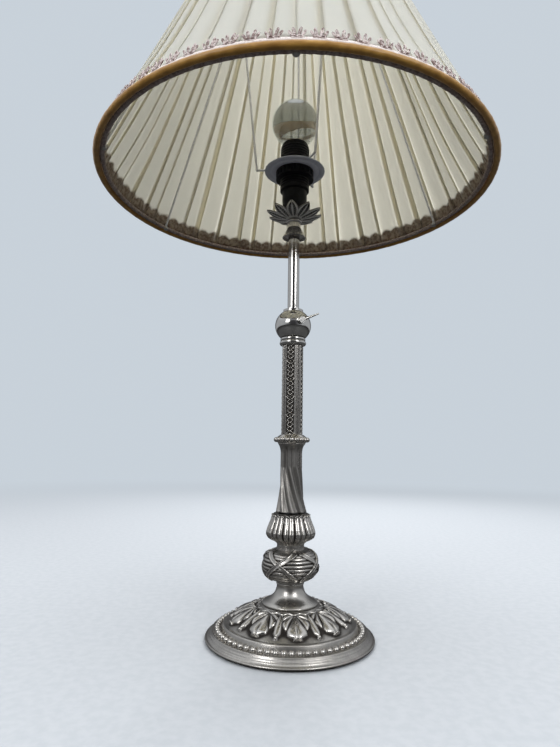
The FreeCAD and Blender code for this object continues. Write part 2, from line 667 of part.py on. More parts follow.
def holder_sleeve():
    """Threaded outer sleeve: a row of shallow thread rings with a plain lip on top."""
    z_high = Z_HOLDER_SLEEVE + HOLDER_SLEEVE_HEIGHT
    lip_z = z_high - HOLDER_LIP_HEIGHT
    inner = SOCKET_RADIUS + SOCKET_MARGIN
    floor = HOLDER_CAP_RADIUS - HOLDER_WALL
    root = HOLDER_SLEEVE_RADIUS - THREAD_DEPTH
    steps = [(floor, Z_HOLDER_SLEEVE), (root, Z_HOLDER_SLEEVE)]
    turns = int((lip_z - Z_HOLDER_SLEEVE) / THREAD_PITCH)
    for turn in range(turns):
        z = Z_HOLDER_SLEEVE + turn * THREAD_PITCH
        steps.append((HOLDER_SLEEVE_RADIUS, z + THREAD_PITCH / 2))
        steps.append((root, z + THREAD_PITCH))
    steps += [(root, lip_z), (HOLDER_LIP_RADIUS, lip_z), (HOLDER_LIP_RADIUS, z_high), (inner, z_high)]
    steps += [(inner, Z_SOCKET - SEAT_GAP), (floor, Z_SOCKET - SEAT_GAP)]
    return turned(steps)


Z_BLOCK = Z_HOLDER + HOLDER_CAP_HEIGHT + BLOCK_GAP
Z_SOCKET = Z_BLOCK + BLOCK_HEIGHT + SEAT_GAP
Z_BULB = Z_SOCKET + SOCKET_WALL + CENTRE_CONTACT_RISE


def contact_block():
    block = rod(HOLDER_CAP_RADIUS - HOLDER_WALL - SEAT_GAP, Z_BLOCK, Z_SOCKET - SEAT_GAP)
    for side in (-1, 1):
        hole = rod(TERMINAL_RADIUS + SEAT_GAP, Z_BLOCK - 1, Z_BLOCK + BLOCK_HEIGHT / 2)
        hole.translate(Vector(side * HOLDER_CAP_RADIUS / 2, 0, 0))
        block = block.cut(hole)
    return block


def terminal_screws():
    screws = []
    for side in (-1, 1):
        z_high = Z_BLOCK + BLOCK_HEIGHT / 2 - SEAT_GAP
        screw = rod(TERMINAL_RADIUS, Z_BLOCK - TERMINAL_BELOW_BLOCK, z_high)
        screw.translate(Vector(side * HOLDER_CAP_RADIUS / 2, 0, 0))
        screws.append(screw)
    return Part.makeCompound(screws)


def socket_shell():
    cup = rod(SOCKET_RADIUS, Z_SOCKET, Z_SOCKET + SOCKET_HEIGHT)
    inside = rod(SOCKET_RADIUS - SOCKET_WALL, Z_SOCKET + SOCKET_WALL, Z_SOCKET + SOCKET_HEIGHT + 1)
    return cup.cut(inside).cut(rod(BULB_CONTACT_RADIUS + 1, Z_SOCKET - 1, Z_SOCKET + 1))


def centre_contact():
    return rod(BULB_CONTACT_RADIUS, Z_SOCKET, Z_BULB - SEAT_GAP)


def ring_nut(z_low, height, radius):
    nut = tube(radius, HOLDER_SLEEVE_RADIUS + SEAT_GAP, z_low, z_low + height)
    grip_z = z_low + height * (1 - NUT_GRIP_SHARE) / 2
    notch = Part.makeCylinder(NUT_GRIP_RADIUS, height * NUT_GRIP_SHARE, Vector(radius, 0, grip_z))
    return nut.cut(Part.makeCompound(around(notch, NUT_GRIPS)))


def lower_ring_nut():
    return ring_nut(Z_LOWER_NUT, LOWER_NUT_HEIGHT, LOWER_NUT_RADIUS)


def upper_ring_nut():
    return ring_nut(Z_UPPER_NUT, UPPER_NUT_HEIGHT, UPPER_NUT_RADIUS)


# ---- bulb ----
Z_BULB_CAP = Z_BULB + BULB_CONTACT_HEIGHT
Z_BULB_NECK = Z_BULB_CAP + BULB_CAP_HEIGHT
Z_BULB_CENTRE = Z_BULB + BULB_CENTRE_RISE


def bulb_profile(radius, neck, z_neck):
    """Outer line of a globe that runs down into its neck, from the neck to the top."""
    join_angle = math.radians(BULB_NECK_ANGLE)
    join = (radius * math.cos(join_angle), Z_BULB_CENTRE + radius * math.sin(join_angle))
    bend = ((neck + join[0]) / 2 - BULB_NECK_INSET, (z_neck + join[1]) / 2 + BULB_NECK_LIFT)
    crown = (radius, Z_BULB_CENTRE, 0.0, Z_BULB_CENTRE + radius)
    return [(neck, z_neck), bend + join, crown]


def bulb_glass():
    outer = turned([(0, Z_BULB_NECK)] + bulb_profile(BULB_RADIUS, BULB_NECK_RADIUS, Z_BULB_NECK))
    low = Z_BULB_NECK - 1
    inner_profile = bulb_profile(BULB_RADIUS - BULB_WALL, BULB_NECK_RADIUS - BULB_WALL, low)
    return outer.cut(turned([(0, low)] + inner_profile))


def crown_mirror():
    outer = BULB_RADIUS - BULB_WALL - SEAT_GAP
    shell = Part.makeSphere(outer).cut(Part.makeSphere(outer - MIRROR_WALL))
    lid = Part.makeCylinder(BULB_RADIUS * 2, BULB_RADIUS * 2, Vector(0, 0, MIRROR_EDGE))
    cap = shell.common(lid)
    cap.translate(Vector(0, 0, Z_BULB_CENTRE))
    return cap


def bulb_cap():
    root = BULB_CAP_RADIUS - BULB_CAP_THREAD_DEPTH
    steps = [(0, Z_BULB_CAP), (BULB_CAP_RADIUS * 0.6, Z_BULB_CAP)]
    start = Z_BULB_CAP + BULB_CAP_THREAD_RISE
    steps.append((root, start))
    for turn in range(BULB_CAP_TURNS):
        steps.append((BULB_CAP_RADIUS, start + BULB_CAP_PITCH * (turn + 0.5)))
        steps.append((root, start + BULB_CAP_PITCH * (turn + 1)))
    steps.append((BULB_NECK_RADIUS, Z_BULB_NECK - BULB_CAP_SHOULDER))
    steps.append((BULB_NECK_RADIUS, Z_BULB_NECK - SEAT_GAP))
    steps += [(0, Z_BULB_NECK - SEAT_GAP)]
    return turned(steps)


def bulb_contact():
    return rod(BULB_CONTACT_RADIUS, Z_BULB, Z_BULB_CAP - SEAT_GAP)


def filament_mount():
    """Glass stem with two lead wires and the filament bar between them."""
    stem = Part.makeCone(STEM_FOOT_RADIUS, STEM_TIP_RADIUS, STEM_LENGTH, Vector(0, 0, Z_BULB_NECK))
    filament_z = Z_BULB_CENTRE - FILAMENT_BELOW_CENTRE
    wires = []
    for side in (-1, 1):
        base = Vector(side * LEAD_SPREAD, 0, Z_BULB_NECK + STEM_LENGTH - 1)
        top = Vector(side * FILAMENT_HALF_LENGTH, 0, filament_z)
        wires.append(Part.makeCylinder(LEAD_RADIUS, (top - base).Length, base, top - base))
    half = FILAMENT_HALF_LENGTH + FILAMENT_RADIUS
    wires.append(Part.makeCylinder(FILAMENT_RADIUS, 2 * half, Vector(-half, 0, filament_z), Vector(1, 0, 0)))
    return stem.multiFuse(wires)


# ---- shade ----
def carrier_washer():
    bore = HOLDER_SLEEVE_RADIUS + WASHER_BORE_PLAY
    return tube(WASHER_RADIUS, bore, Z_WASHER, Z_WASHER + WASHER_THICKNESS)


def carrier_arms():
    z_level = Z_WASHER + WASHER_THICKNESS + ARM_RADIUS + SEAT_GAP
    reach = TOP_RING_RADIUS - RING_WIRE_RADIUS - ARM_RADIUS - SEAT_GAP
    arms = []
    for index in range(ARM_COUNT):
        angle = ARM_FIRST_ANGLE + 360.0 / ARM_COUNT * index
        start = polar(ARM_START_RADIUS, angle, z_level)
        bend = polar(ARM_BEND_RADIUS, angle, z_level)
        arms.append(wire_bar([start, bend, polar(reach, angle, Z_TOP_RING)], ARM_RADIUS))
    return Part.makeCompound(arms)


def ring_wire(radius, z):
    return Part.makeTorus(radius, RING_WIRE_RADIUS, Vector(0, 0, z))


def cone_radius(height):
    """Radius of the straight cone through both ring wires, at a height above the bottom ring."""
    return BOTTOM_RING_RADIUS + (TOP_RING_RADIUS - BOTTOM_RING_RADIUS) * height / SHADE_HEIGHT


def shade_struts():
    slant = math.hypot(BOTTOM_RING_RADIUS - TOP_RING_RADIUS, SHADE_HEIGHT)
    end = SHADE_HEIGHT * (RING_WIRE_RADIUS + SEAT_GAP) / slant
    struts = []
    for angle in STRUT_ANGLES:
        foot_point = polar(cone_radius(end), angle, Z_BOTTOM_RING + end)
        head_point = polar(cone_radius(SHADE_HEIGHT - end), angle, Z_TOP_RING - end)
        struts.append(wire_bar([foot_point, head_point], STRUT_WIRE_RADIUS))
    return Part.makeCompound(struts)


def pull_share(angle):
    """0 on a strut, 1 halfway between two struts."""
    struts = sorted(strut % 360 for strut in STRUT_ANGLES)
    struts = [struts[-1] - 360] + struts + [struts[0] + 360]
    for low, high in zip(struts, struts[1:]):
        if low <= angle % 360 <= high:
            return math.sin(math.pi * (angle % 360 - low) / (high - low)) ** 2
    return 0.0


def pleated_wire(z, radius, depth, pull):
    """Saw-tooth ring of knife pleats, each rising to its fold and dropping behind it."""
    corners = []
    for pleat in range(PLEAT_COUNT):
        for share, lift in ((0.0, 0.0), (PLEAT_FOLD_SHARE, depth)):
            angle = 360.0 * (pleat + share) / PLEAT_COUNT
            corners.append(polar(radius + lift - pull * pull_share(angle), angle, z))
    return Part.makePolygon(corners + corners[:1])


PIPING_REACH = RING_WIRE_RADIUS + PIPING_RADIUS + CLOTH_GAP
PIPING_OUT = PIPING_REACH * math.cos(math.radians(PIPING_TILT))
PIPING_DROP = PIPING_REACH * math.sin(math.radians(PIPING_TILT))
CLOTH_EDGE = PIPING_RADIUS + CLOTH_GAP - PIPING_DROP
CLOTH_INSIDE = RING_WIRE_RADIUS + CLOTH_GAP


def pleated_cloth():
    outer_wires = []
    inner_wires = []
    heights = (CLOTH_EDGE, CLOTH_PULL_HEIGHT, SHADE_HEIGHT - CLOTH_EDGE)
    for height, pull in zip(heights, (0.0, CLOTH_PULL, 0.0)):
        inner = cone_radius(height) + CLOTH_INSIDE
        depth = PLEAT_DEPTH * cone_radius(height) / BOTTOM_RING_RADIUS
        z = Z_BOTTOM_RING + height
        outer_wires.append(pleated_wire(z, inner + CLOTH_THICKNESS, depth, pull))
        inner_wires.append(pleated_wire(z, inner, depth, pull))
    return Part.makeLoft(outer_wires, True, True).cut(Part.makeLoft(inner_wires, True, True))


def piping_bottom():
    centre = Vector(0, 0, Z_BOTTOM_RING - PIPING_DROP)
    return Part.makeTorus(BOTTOM_RING_RADIUS + PIPING_OUT, PIPING_RADIUS, centre)


def piping_top():
    centre = Vector(0, 0, Z_TOP_RING + PIPING_DROP)
    return Part.makeTorus(TOP_RING_RADIUS + PIPING_OUT, PIPING_RADIUS, centre)


def braid(low, high):
    """Flat trimming band round the cloth, from one height above the bottom ring to another."""
    cover = CLOTH_INSIDE + CLOTH_THICKNESS + PLEAT_DEPTH + SEAT_GAP
    return turned([
        (cone_radius(low) + cover, Z_BOTTOM_RING + low),
        (cone_radius(low) + cover + BRAID_THICKNESS, Z_BOTTOM_RING + low),
        (cone_radius(high) + cover + BRAID_THICKNESS, Z_BOTTOM_RING + high),
        (cone_radius(high) + cover, Z_BOTTOM_RING + high),
    ])


def braid_bottom():
    return braid(CLOTH_EDGE, CLOTH_EDGE + BRAID_HEIGHT)


def braid_top():
    return braid(SHADE_HEIGHT - CLOTH_EDGE - BRAID_HEIGHT, SHADE_HEIGHT - CLOTH_EDGE)


def bottom_ring_wire():
    return ring_wire(BOTTOM_RING_RADIUS, Z_BOTTOM_RING)


def top_ring_wire():
    return ring_wire(TOP_RING_RADIUS, Z_TOP_RING)


NODES = {
    "foot": foot,
    "cable_inlet_bush": cable_inlet,
    "tie_washer": tie_washer,
    "tie_nut": tie_nut,
    "tie_tube": tie_tube,
    "trumpet_foot": trumpet_foot,
    "knop": knop,
    "petal_cup": petal_cup,
    "twisted_column": twisted_column,
    "beaded_collar": beaded_collar,
    "lattice_sleeve": lattice_sleeve,
    "ferrule": ferrule,
    "clamp_head": clamp_head,
    "guide_bush": guide_bush,
    "liner_tube": liner_tube,
    "brake_pad": brake_pad,
    "clamp_lever": clamp_lever,
    "slider_bush": slider,
    "inner_rod": inner_rod,
    "stop_ring": stop_ring,
    "head_cup": head_cup,
    "rosette": rosette,
    "holder_cap": holder_cap,
    "holder_sleeve": holder_sleeve,
    "contact_block": contact_block,
    "terminal_screws": terminal_screws,
    "socket_shell": socket_shell,
    "centre_contact": centre_contact,
    "lower_ring_nut": lower_ring_nut,
    "upper_ring_nut": upper_ring_nut,
    "bulb_glass": bulb_glass,
    "crown_mirror": crown_mirror,
    "bulb_cap": bulb_cap,
    "bulb_contact": bulb_contact,
    "filament_mount": filament_mount,
    "carrier_washer": carrier_washer,
    "carrier_arms": carrier_arms,
    "bottom_ring_wire": bottom_ring_wire,
    "top_ring_wire": top_ring_wire,
    "shade_struts": shade_struts,
    "pleated_cloth": pleated_cloth,
    "piping_bottom": piping_bottom,
    "piping_top": piping_top,
    "braid_bottom": braid_bottom,
    "braid_top": braid_top,
}

os.makedirs("parts", exist_ok=True)
for name, make in NODES.items():
    shape = make()
    shape.exportStep("parts/" + name + ".step")
    box = shape.BoundBox
    print(f"{name}: valid {shape.isValid()}, solids {len(shape.Solids)}, volume {shape.Volume:.1f},"
          f" z {box.ZMin:.2f} to {box.ZMax:.2f}, x to {box.XMax:.2f}")
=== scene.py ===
import math

import bpy
import numpy as np
from mathutils import Matrix, Vector


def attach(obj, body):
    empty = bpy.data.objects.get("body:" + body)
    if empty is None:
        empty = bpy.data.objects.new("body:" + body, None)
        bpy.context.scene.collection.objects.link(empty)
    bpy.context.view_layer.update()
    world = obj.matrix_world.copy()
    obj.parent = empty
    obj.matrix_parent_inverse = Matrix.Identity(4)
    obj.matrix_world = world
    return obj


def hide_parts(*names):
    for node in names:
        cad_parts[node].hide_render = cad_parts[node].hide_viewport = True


# Telescopic candlestick lamp with a pleated shade. Lengths are millimetres until a mesh is made.
# Directions are degrees from the front, which faces -Y, turning towards +X.

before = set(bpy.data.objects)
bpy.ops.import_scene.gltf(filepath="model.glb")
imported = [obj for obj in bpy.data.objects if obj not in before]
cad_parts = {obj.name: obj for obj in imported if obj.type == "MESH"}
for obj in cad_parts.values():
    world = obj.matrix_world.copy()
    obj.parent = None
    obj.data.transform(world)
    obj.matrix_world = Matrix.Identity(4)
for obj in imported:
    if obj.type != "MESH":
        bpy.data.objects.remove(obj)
scene = bpy.context.scene
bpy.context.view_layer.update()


# ---- floor and backdrop ----
# A round pale floor that fades into the same pale blue-grey as the wall behind it. Only the camera
# sees it pale: to the metal and the shade it is as dark as stone. In mirror reflections the sky is
# bright overhead and to both sides, and dark in front and below.
class Wire:
    """An output socket of a node tree. Arithmetic on wires adds Math nodes to that tree."""

    def __init__(self, tree, socket=None):
        self.tree = tree
        self.socket = socket

    def node(self, kind, settings=None, sockets=None, out=0):
        made = self.tree.nodes.new(kind)
        for setting, value in (settings or {}).items():
            setattr(made, setting, value)
        for key, value in (sockets or {}).items():
            for wire in value if isinstance(value, list) else [value]:
                if isinstance(wire, Wire):
                    self.tree.links.new(wire.socket, made.inputs[key])
                else:
                    made.inputs[key].default_value = wire
        return Wire(self.tree, made.outputs[out] if made.outputs else None)

    def maths(self, operation, other=0.0, third=0.0):
        return self.node("ShaderNodeMath", {"operation": operation}, {0: self, 1: other, 2: third})

    def __add__(self, other):
        return self.maths("ADD", other)

    def __mul__(self, other):
        return self.maths("MULTIPLY", other)

    def __sub__(self, other):
        return self.maths("SUBTRACT", other)

    def __rsub__(self, other):
        return self.maths("MULTIPLY_ADD", -1.0, other)

    def __truediv__(self, other):
        return self.maths("DIVIDE", other)

    def __pow__(self, other):
        return self.maths("POWER", other)

    def __abs__(self):
        return self.maths("ABSOLUTE")

    __radd__ = __add__
    __rmul__ = __mul__

    def spread(self, low, high):
        """Smooth step from 0 at low to 1 at high."""
        return self.node("ShaderNodeMapRange", {"interpolation_type": "SMOOTHSTEP"},
                         {0: self, 1: low, 2: high, 3: 0.0, 4: 1.0})

    def part(self, axis):
        """One component, X, Y or Z, of a vector."""
        return self.node("ShaderNodeSeparateXYZ", {}, {0: self}, axis)

    def blend(self, first, second):
        """Colour between two colours, with this wire as the share of the second."""
        return self.node("ShaderNodeMix", {"data_type": "RGBA"}, {0: self, 6: first, 7: second}, 2)

    def noise(self, scale, detail=3.0, stretch=(1.0, 1.0, 1.0)):
        place = self.node("ShaderNodeVectorMath", {"operation": "MULTIPLY"}, {0: self, 1: stretch})
        return self.node("ShaderNodeTexNoise", {}, {"Vector": place, "Scale": scale, "Detail": detail})

    def shader(self, kind, sockets):
        return self.node("ShaderNode" + kind, {}, sockets)


def new_material(name):
    material = bpy.data.materials.new(name)
    material.use_nodes = True
    material.node_tree.nodes.clear()
    return material, Wire(material.node_tree)


def finished(start, shader):
    start.shader("OutputMaterial", {"Surface": shader})


BACKDROP = (0.58, 0.64, 0.70, 1.0)
DARK_SURROUND = (0.045, 0.045, 0.045, 1.0)
BRIGHT_SKY = (1.05, 1.08, 1.12, 1.0)
FLOOR_RADIUS = 30.0
FLOOR_FADES = (0.45, 2.2)      # distances where the floor starts and ends to fade

floor_material, start = new_material("pale_floor")
place = start.node("ShaderNodeTexCoord", out="Object")
distance = place.node("ShaderNodeVectorMath", {"operation": "LENGTH"}, {0: place}, "Value")
camera_ray = start.node("ShaderNodeLightPath", out="Is Camera Ray")
speckle = place.noise(140.0).spread(0.3, 0.7)
pale = speckle.blend((0.44, 0.465, 0.49, 1.0), (0.48, 0.50, 0.525, 1.0))
stone = camera_ray.blend(DARK_SURROUND, pale)
near = start.shader("BsdfPrincipled", {"Base Color": stone, "Roughness": 0.6})
far = start.shader("Emission", {"Color": camera_ray.blend(DARK_SURROUND, BACKDROP)})
finished(start, start.shader("MixShader", {0: distance.spread(*FLOOR_FADES), 1: near, 2: far}))

bpy.ops.mesh.primitive_circle_add(vertices=96, radius=FLOOR_RADIUS, fill_type="NGON")
floor = bpy.context.object
floor.name = "pale_floor"
floor.data.materials.append(floor_material)

world = bpy.data.worlds.new("open_sky")
scene.world = world
world.use_nodes = True
world.node_tree.nodes.clear()
start = Wire(world.node_tree)
place = start.node("ShaderNodeTexCoord", out="Generated")
height = place.part("Z")
sideways = abs(place.part("X"))
camera_ray = start.node("ShaderNodeLightPath", out="Is Camera Ray")
glossy_ray = start.node("ShaderNodeLightPath", out="Is Glossy Ray")
sky = height.spread(-0.05, 0.75).blend((0.30, 0.33, 0.37, 1.0), BRIGHT_SKY)
mirrored = sideways.spread(0.25, 0.85).blend((0.05, 0.05, 0.055, 1.0), (0.52, 0.54, 0.57, 1.0))
mirrored = height.spread(-0.25, 0.0).blend(DARK_SURROUND, mirrored)
mirrored = height.spread(0.35, 0.9).blend(mirrored, BRIGHT_SKY)
seen = camera_ray.blend(glossy_ray.blend(sky, mirrored), BACKDROP)
start.shader("OutputWorld", {"Surface": start.shader("Background", {"Color": seen, "Strength": 1.0})})


# ---- lights and camera ----
# Two soft boxes in front, one on each side, a wide one overhead and one behind the shade. The last
# two aren't mirrored in the metal. The camera stands low and close, at the photograph's angle.
def soft_box(name, place, target, width, power, mirrored):
    light = bpy.data.lights.new(name, "AREA")
    light.shape = "SQUARE"
    light.size = width
    light.energy = power
    box = bpy.data.objects.new(name, light)
    scene.collection.objects.link(box)
    box.visible_glossy = mirrored
    box.location = place
    box.rotation_euler = (Vector(target) - Vector(place)).to_track_quat("-Z", "Y").to_euler()


soft_box("box_left", (-0.75, -1.05, 0.85), (0, 0, 0.2), 0.5, 5.0, True)
soft_box("box_right", (0.80, -0.95, 0.90), (0, 0, 0.2), 0.5, 5.0, True)
soft_box("box_top", (0.0, -0.1, 1.7), (0, 0, 0.3), 1.4, 9.0, False)
soft_box("box_back", (0.25, 1.2, 1.0), (0, 0, 0.5), 0.9, 14.0, False)

CAMERA_PLACE = (0.0, -0.4656, 0.1585)
pitch, yaw, roll = (math.radians(angle) for angle in (8.06, -1.39, 0.85))
forward = Vector((math.sin(yaw) * math.cos(pitch), math.cos(yaw) * math.cos(pitch), math.sin(pitch)))
level = Vector((math.cos(yaw), -math.sin(yaw), 0.0))
right = level * math.cos(roll) + level.cross(forward) * math.sin(roll)
camera = bpy.data.objects.new("camera", bpy.data.cameras.new("camera"))
scene.collection.objects.link(camera)
camera.matrix_world = (Matrix.Translation(CAMERA_PLACE)
                       @ Matrix((right, right.cross(forward), -forward)).transposed().to_4x4())
camera.data.lens = 25.11
camera.data.clip_start = 0.01
scene.camera = camera
scene.view_settings.view_transform = "Standard"


# ---- foot ----
# Cast and chased brass, silver-plated, its hollows painted dark for tarnish and for shade. From the
# outside in:
# a stepped edge, a ledge with a ring of beads, a plain step and a dome of shell leaves.
def metal(name, bright, dark, gloss, wear=0.5):
    """Plated metal: bright on what stands up, dark where the mesh marks tarnish and painted shade."""
    material, start = new_material(name)
    place = start.node("ShaderNodeTexCoord", out="Object")
    patches = place.noise(45.0, 4.0).spread(0.35, 0.75)
    specks = place.noise(700.0, 3.0)
    hollow = start.node("ShaderNodeAttribute", {"attribute_name": "hollow"}, out="Fac")
    # Tarnish, worn patches and painted shade in the hollows together darken the colour.
    tarnish_wear_and_shade = (hollow + patches * wear * 0.35 + (specks - 0.5) * wear * 0.5).spread(0.0, 0.9)
    pits = place.noise(260.0, 2.0)
    bump = start.shader("Bump", {"Height": specks * 0.35 + pits, "Strength": 0.10, "Distance": 0.0006})
    finished(start, start.shader("BsdfPrincipled", {
        "Base Color": tarnish_wear_and_shade.blend(bright, dark), "Metallic": 1.0,
        "Roughness": tarnish_wear_and_shade * 0.32 + patches * 0.05 + gloss, "Normal": bump}))
    return material


def traced(corners, spacing):
    """Points along the corners, at least one every spacing, without the last corner."""
    corners = np.array(corners, float)
    steps = []
    for first, second in zip(corners, corners[1:]):
        count = max(1, math.ceil(np.linalg.norm(second - first) / spacing))
        steps.append(first + (second - first) * (np.arange(count) / count)[:, None])
    return np.concatenate(steps)


def softened(field, cells):
    """The field blurred over a number of cells, wrapping at its edges."""
    rows = np.fft.fftfreq(field.shape[0])[:, None]
    columns = np.fft.fftfreq(field.shape[1])[None, :]
    fade = np.exp(-2 * (math.pi * cells) ** 2 * (rows ** 2 + columns ** 2))
    return np.fft.ifft2(np.fft.fft2(field) * fade).real


def grid_mesh(name, *grids, loop=True, hollow=None):
    """Mesh of grids of points in millimetres. Columns wrap round; rows wrap too, or are capped."""
    points, faces, count = [], [], 0
    for grid in grids:
        index = np.arange(grid[..., 0].size).reshape(grid.shape[:2]) + count
        above = np.roll(index, -1, axis=0)
        quads = np.stack([index, np.roll(index, -1, axis=1), np.roll(above, -1, axis=1), above], axis=-1)
        faces += (quads if loop else quads[:-1]).reshape(-1, 4).tolist()
        if not loop:
            faces += [index[0, ::-1].tolist(), index[-1].tolist()]
        points.append(grid.reshape(-1, 3))
        count += index.size
    mesh = bpy.data.meshes.new(name)
    mesh.from_pydata(np.concatenate(points) / 1000.0, [], faces)
    # The optional field marks tarnish and painted shade for the metal's colour.
    if hollow is not None:
        attribute = mesh.attributes.new("hollow", "FLOAT", "POINT")
        attribute.data.foreach_set("value", hollow.astype(np.float32).ravel())
    return mesh


def add_piece(mesh, body, slot, material, *nodes):
    """Object of a mesh, riding on a body and standing for CAD nodes."""
    mesh.polygons.foreach_set("use_smooth", [True] * len(mesh.polygons))
    mesh.materials.clear()
    mesh.materials.append(material)
    piece = bpy.data.objects.new(mesh.name, mesh)
    scene.collection.objects.link(piece)
    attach(piece, body)
    if nodes:
        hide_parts(*nodes)
    return piece


def carved_shell(name, outline, steps, carve, depth, spread=5.0):
    """Turned mesh of a closed outline that goes up its outside, with a relief cut into it."""
    angles = np.arange(steps) * 360.0 / steps
    run = np.roll(outline, -1, axis=0) - np.roll(outline, 1, axis=0)
    run /= np.linalg.norm(run, axis=1)[:, None]
    relief = np.zeros((len(outline), steps)) + carve(outline[:, 0][:, None], outline[:, 1][:, None],
                                                     angles[None, :])
    radius = outline[:, :1] + run[:, 1:] * relief
    turn = np.radians(angles)[None, :]
    points = np.stack([radius * np.sin(turn), -radius * np.cos(turn),
                       outline[:, 1:] - run[:, :1] * relief], axis=-1)
    # The relief's hollows are painted dark for tarnish and shade: the deeper below their surroundings, the
    # darker.
    hollow = np.clip((softened(relief, spread) - relief) / depth + 0.25, 0.0, 1.0)
    return grid_mesh(name, points, hollow=hollow)


def from_centre(angles, centre, period):
    """Signed angle to the nearest of the lines that repeat every period from a centre."""
    return (angles - centre + period / 2) % period - period / 2


def round_bar(offset, half, height):
    """Height of a half-round bar at a distance from its middle line."""
    return height * np.sqrt(np.clip(1 - (offset / half) ** 2, 0, 1))


aged_silver = metal("aged_silver", (0.53, 0.51, 0.48, 1.0), (0.045, 0.040, 0.036, 1.0), 0.20)

DOME_EDGE = 50.9
DOME = [(DOME_EDGE - 26.9 * share + 1.5 * math.sin(math.pi * share), 14.0 + 13.4 * share)
        for share in np.linspace(0.0, 1.0, 40)]
foot_outside = [(67.9, 0.0), (68.4, 0.5), (69.8, 1.1), (70.7, 1.7), (70.9, 2.4), (70.5, 3.1),
                (69.7, 3.4), (69.2, 3.2), (68.3, 3.9), (67.6, 4.9), (67.2, 5.0), (66.8, 5.9),
                (66.0, 6.7), (65.3, 8.2), (64.3, 8.3), (63.6, 7.9), (57.9, 8.1), (57.3, 9.2),
                (56.7, 11.2), (56.1, 12.8), (55.3, 13.4), (54.2, 13.3), (52.4, 13.2)] + DOME
foot_inside = [DOME[-1], (5.05, 27.4), (5.05, 25.2), (19.0, 25.2), (22.0, 22.8), (48.4, 10.6),
               (54.2, 7.8), (64.4, 5.4), (66.1, 2.4), (66.1, 0.0), (67.9, 0.0)]
LEAF_PERIOD = 40.0
BROAD_FIRST, NARROW_FIRST = 7.5, -12.5
LEAF_TOP = 5.0        # mm down the dome from the leaves' top line to where the lobes meet
LEAF_HEM = 31.5       # mm down the dome to the end of the carving
# directions from a leaf's middle that part its lobes, and how far the leaf reaches by direction
LOBE_BOUNDS = np.array([0.0, 25.0, 49.0, 72.0, 90.0])
LOBE_ENDS = ([0.0, 20.0, 26.0, 30.0, 40.0, 48.0, 54.0, 62.0, 72.0],
             [24.5, 22.5, 19.0, 18.5, 17.0, 14.5, 12.5, 11.0, 8.0])


def foot_relief(radius, height, angle):
    """Shell leaves that fan out from their tops, narrow leaves between them and a scalloped line."""
    down = 30.6 - np.where(height > 13.9, (DOME_EDGE - radius) * 1.12, DOME_EDGE - radius)
    across = np.radians(from_centre(angle, BROAD_FIRST, LEAF_PERIOD)) * radius
    below = down - LEAF_TOP
    fan = np.degrees(np.arctan2(np.abs(across), below))
    reach = np.hypot(across, below)
    ends = np.interp(fan, *LOBE_ENDS)
    lobe = np.clip(np.searchsorted(LOBE_BOUNDS, fan, side="right") - 1, 0, 3)
    first, last = LOBE_BOUNDS[lobe], LOBE_BOUNDS[lobe + 1]
    centre = np.where(lobe == 0, 0.0, (first + last) / 2)
    half = np.where(lobe == 0, last, (last - first) / 2)
    belly = np.sqrt(np.clip(1 - ((fan - centre) / half) ** 2, 0, 1))
    along = np.clip(reach / ends, 0, 1)
    rise = np.clip(reach / 4.0, 0, 1) * np.sqrt(np.clip(1 - along ** 9, 0, 1)) * (0.5 + 0.5 * along)
    tall = np.where(lobe == 0, 3.3, 2.9) * belly ** 0.8 + 0.2
    broad = np.where((lobe < 3) & (below > 0), tall * rise, 0.0)
    curl = round_bar(reach - 24.4, 1.0, 3.36) * np.sqrt(np.clip(1 - (across / 3.6) ** 2, 0, 1))
    vein = -0.7 * np.exp(-(fan / 2.6) ** 2) * np.clip((reach - 12) / 5, 0, 1) * (reach < ends - 1)
    offset = np.radians(from_centre(angle, NARROW_FIRST, LEAF_PERIOD)) * radius
    width = np.interp(down, [7.0, 12.0, 25.0, 28.0], [1.2, 3.4, 2.9, 0.6])
    narrow = round_bar(offset, width, 2.2) * (down > 7.0) * (down < 28.0)
    tip = round_bar(np.hypot(offset, down - 28.6), 1.6, 2.2)
    arch = 3.4 + 0.9 * np.cos(np.radians(from_centre(angle, BROAD_FIRST, LEAF_PERIOD / 2)) * 18)
    scallop = round_bar(down - arch, 0.6, 0.7)
    leaves = np.maximum.reduce([broad + vein * (broad > 0), curl, narrow, tip, scallop, 0 * broad])
    on_dome = (height > 12.9) & (height < 27.3) & (radius > 24.5)
    return np.where(on_dome & (down < LEAF_HEM), leaves, 0.0)


outline = np.concatenate([traced(foot_outside, 0.42), traced(foot_inside, 4.0)])
foot = carved_shell("cast_foot", outline, 480, foot_relief, 0.9)
add_piece(foot, "stand", "aged_silver", aged_silver, "foot")


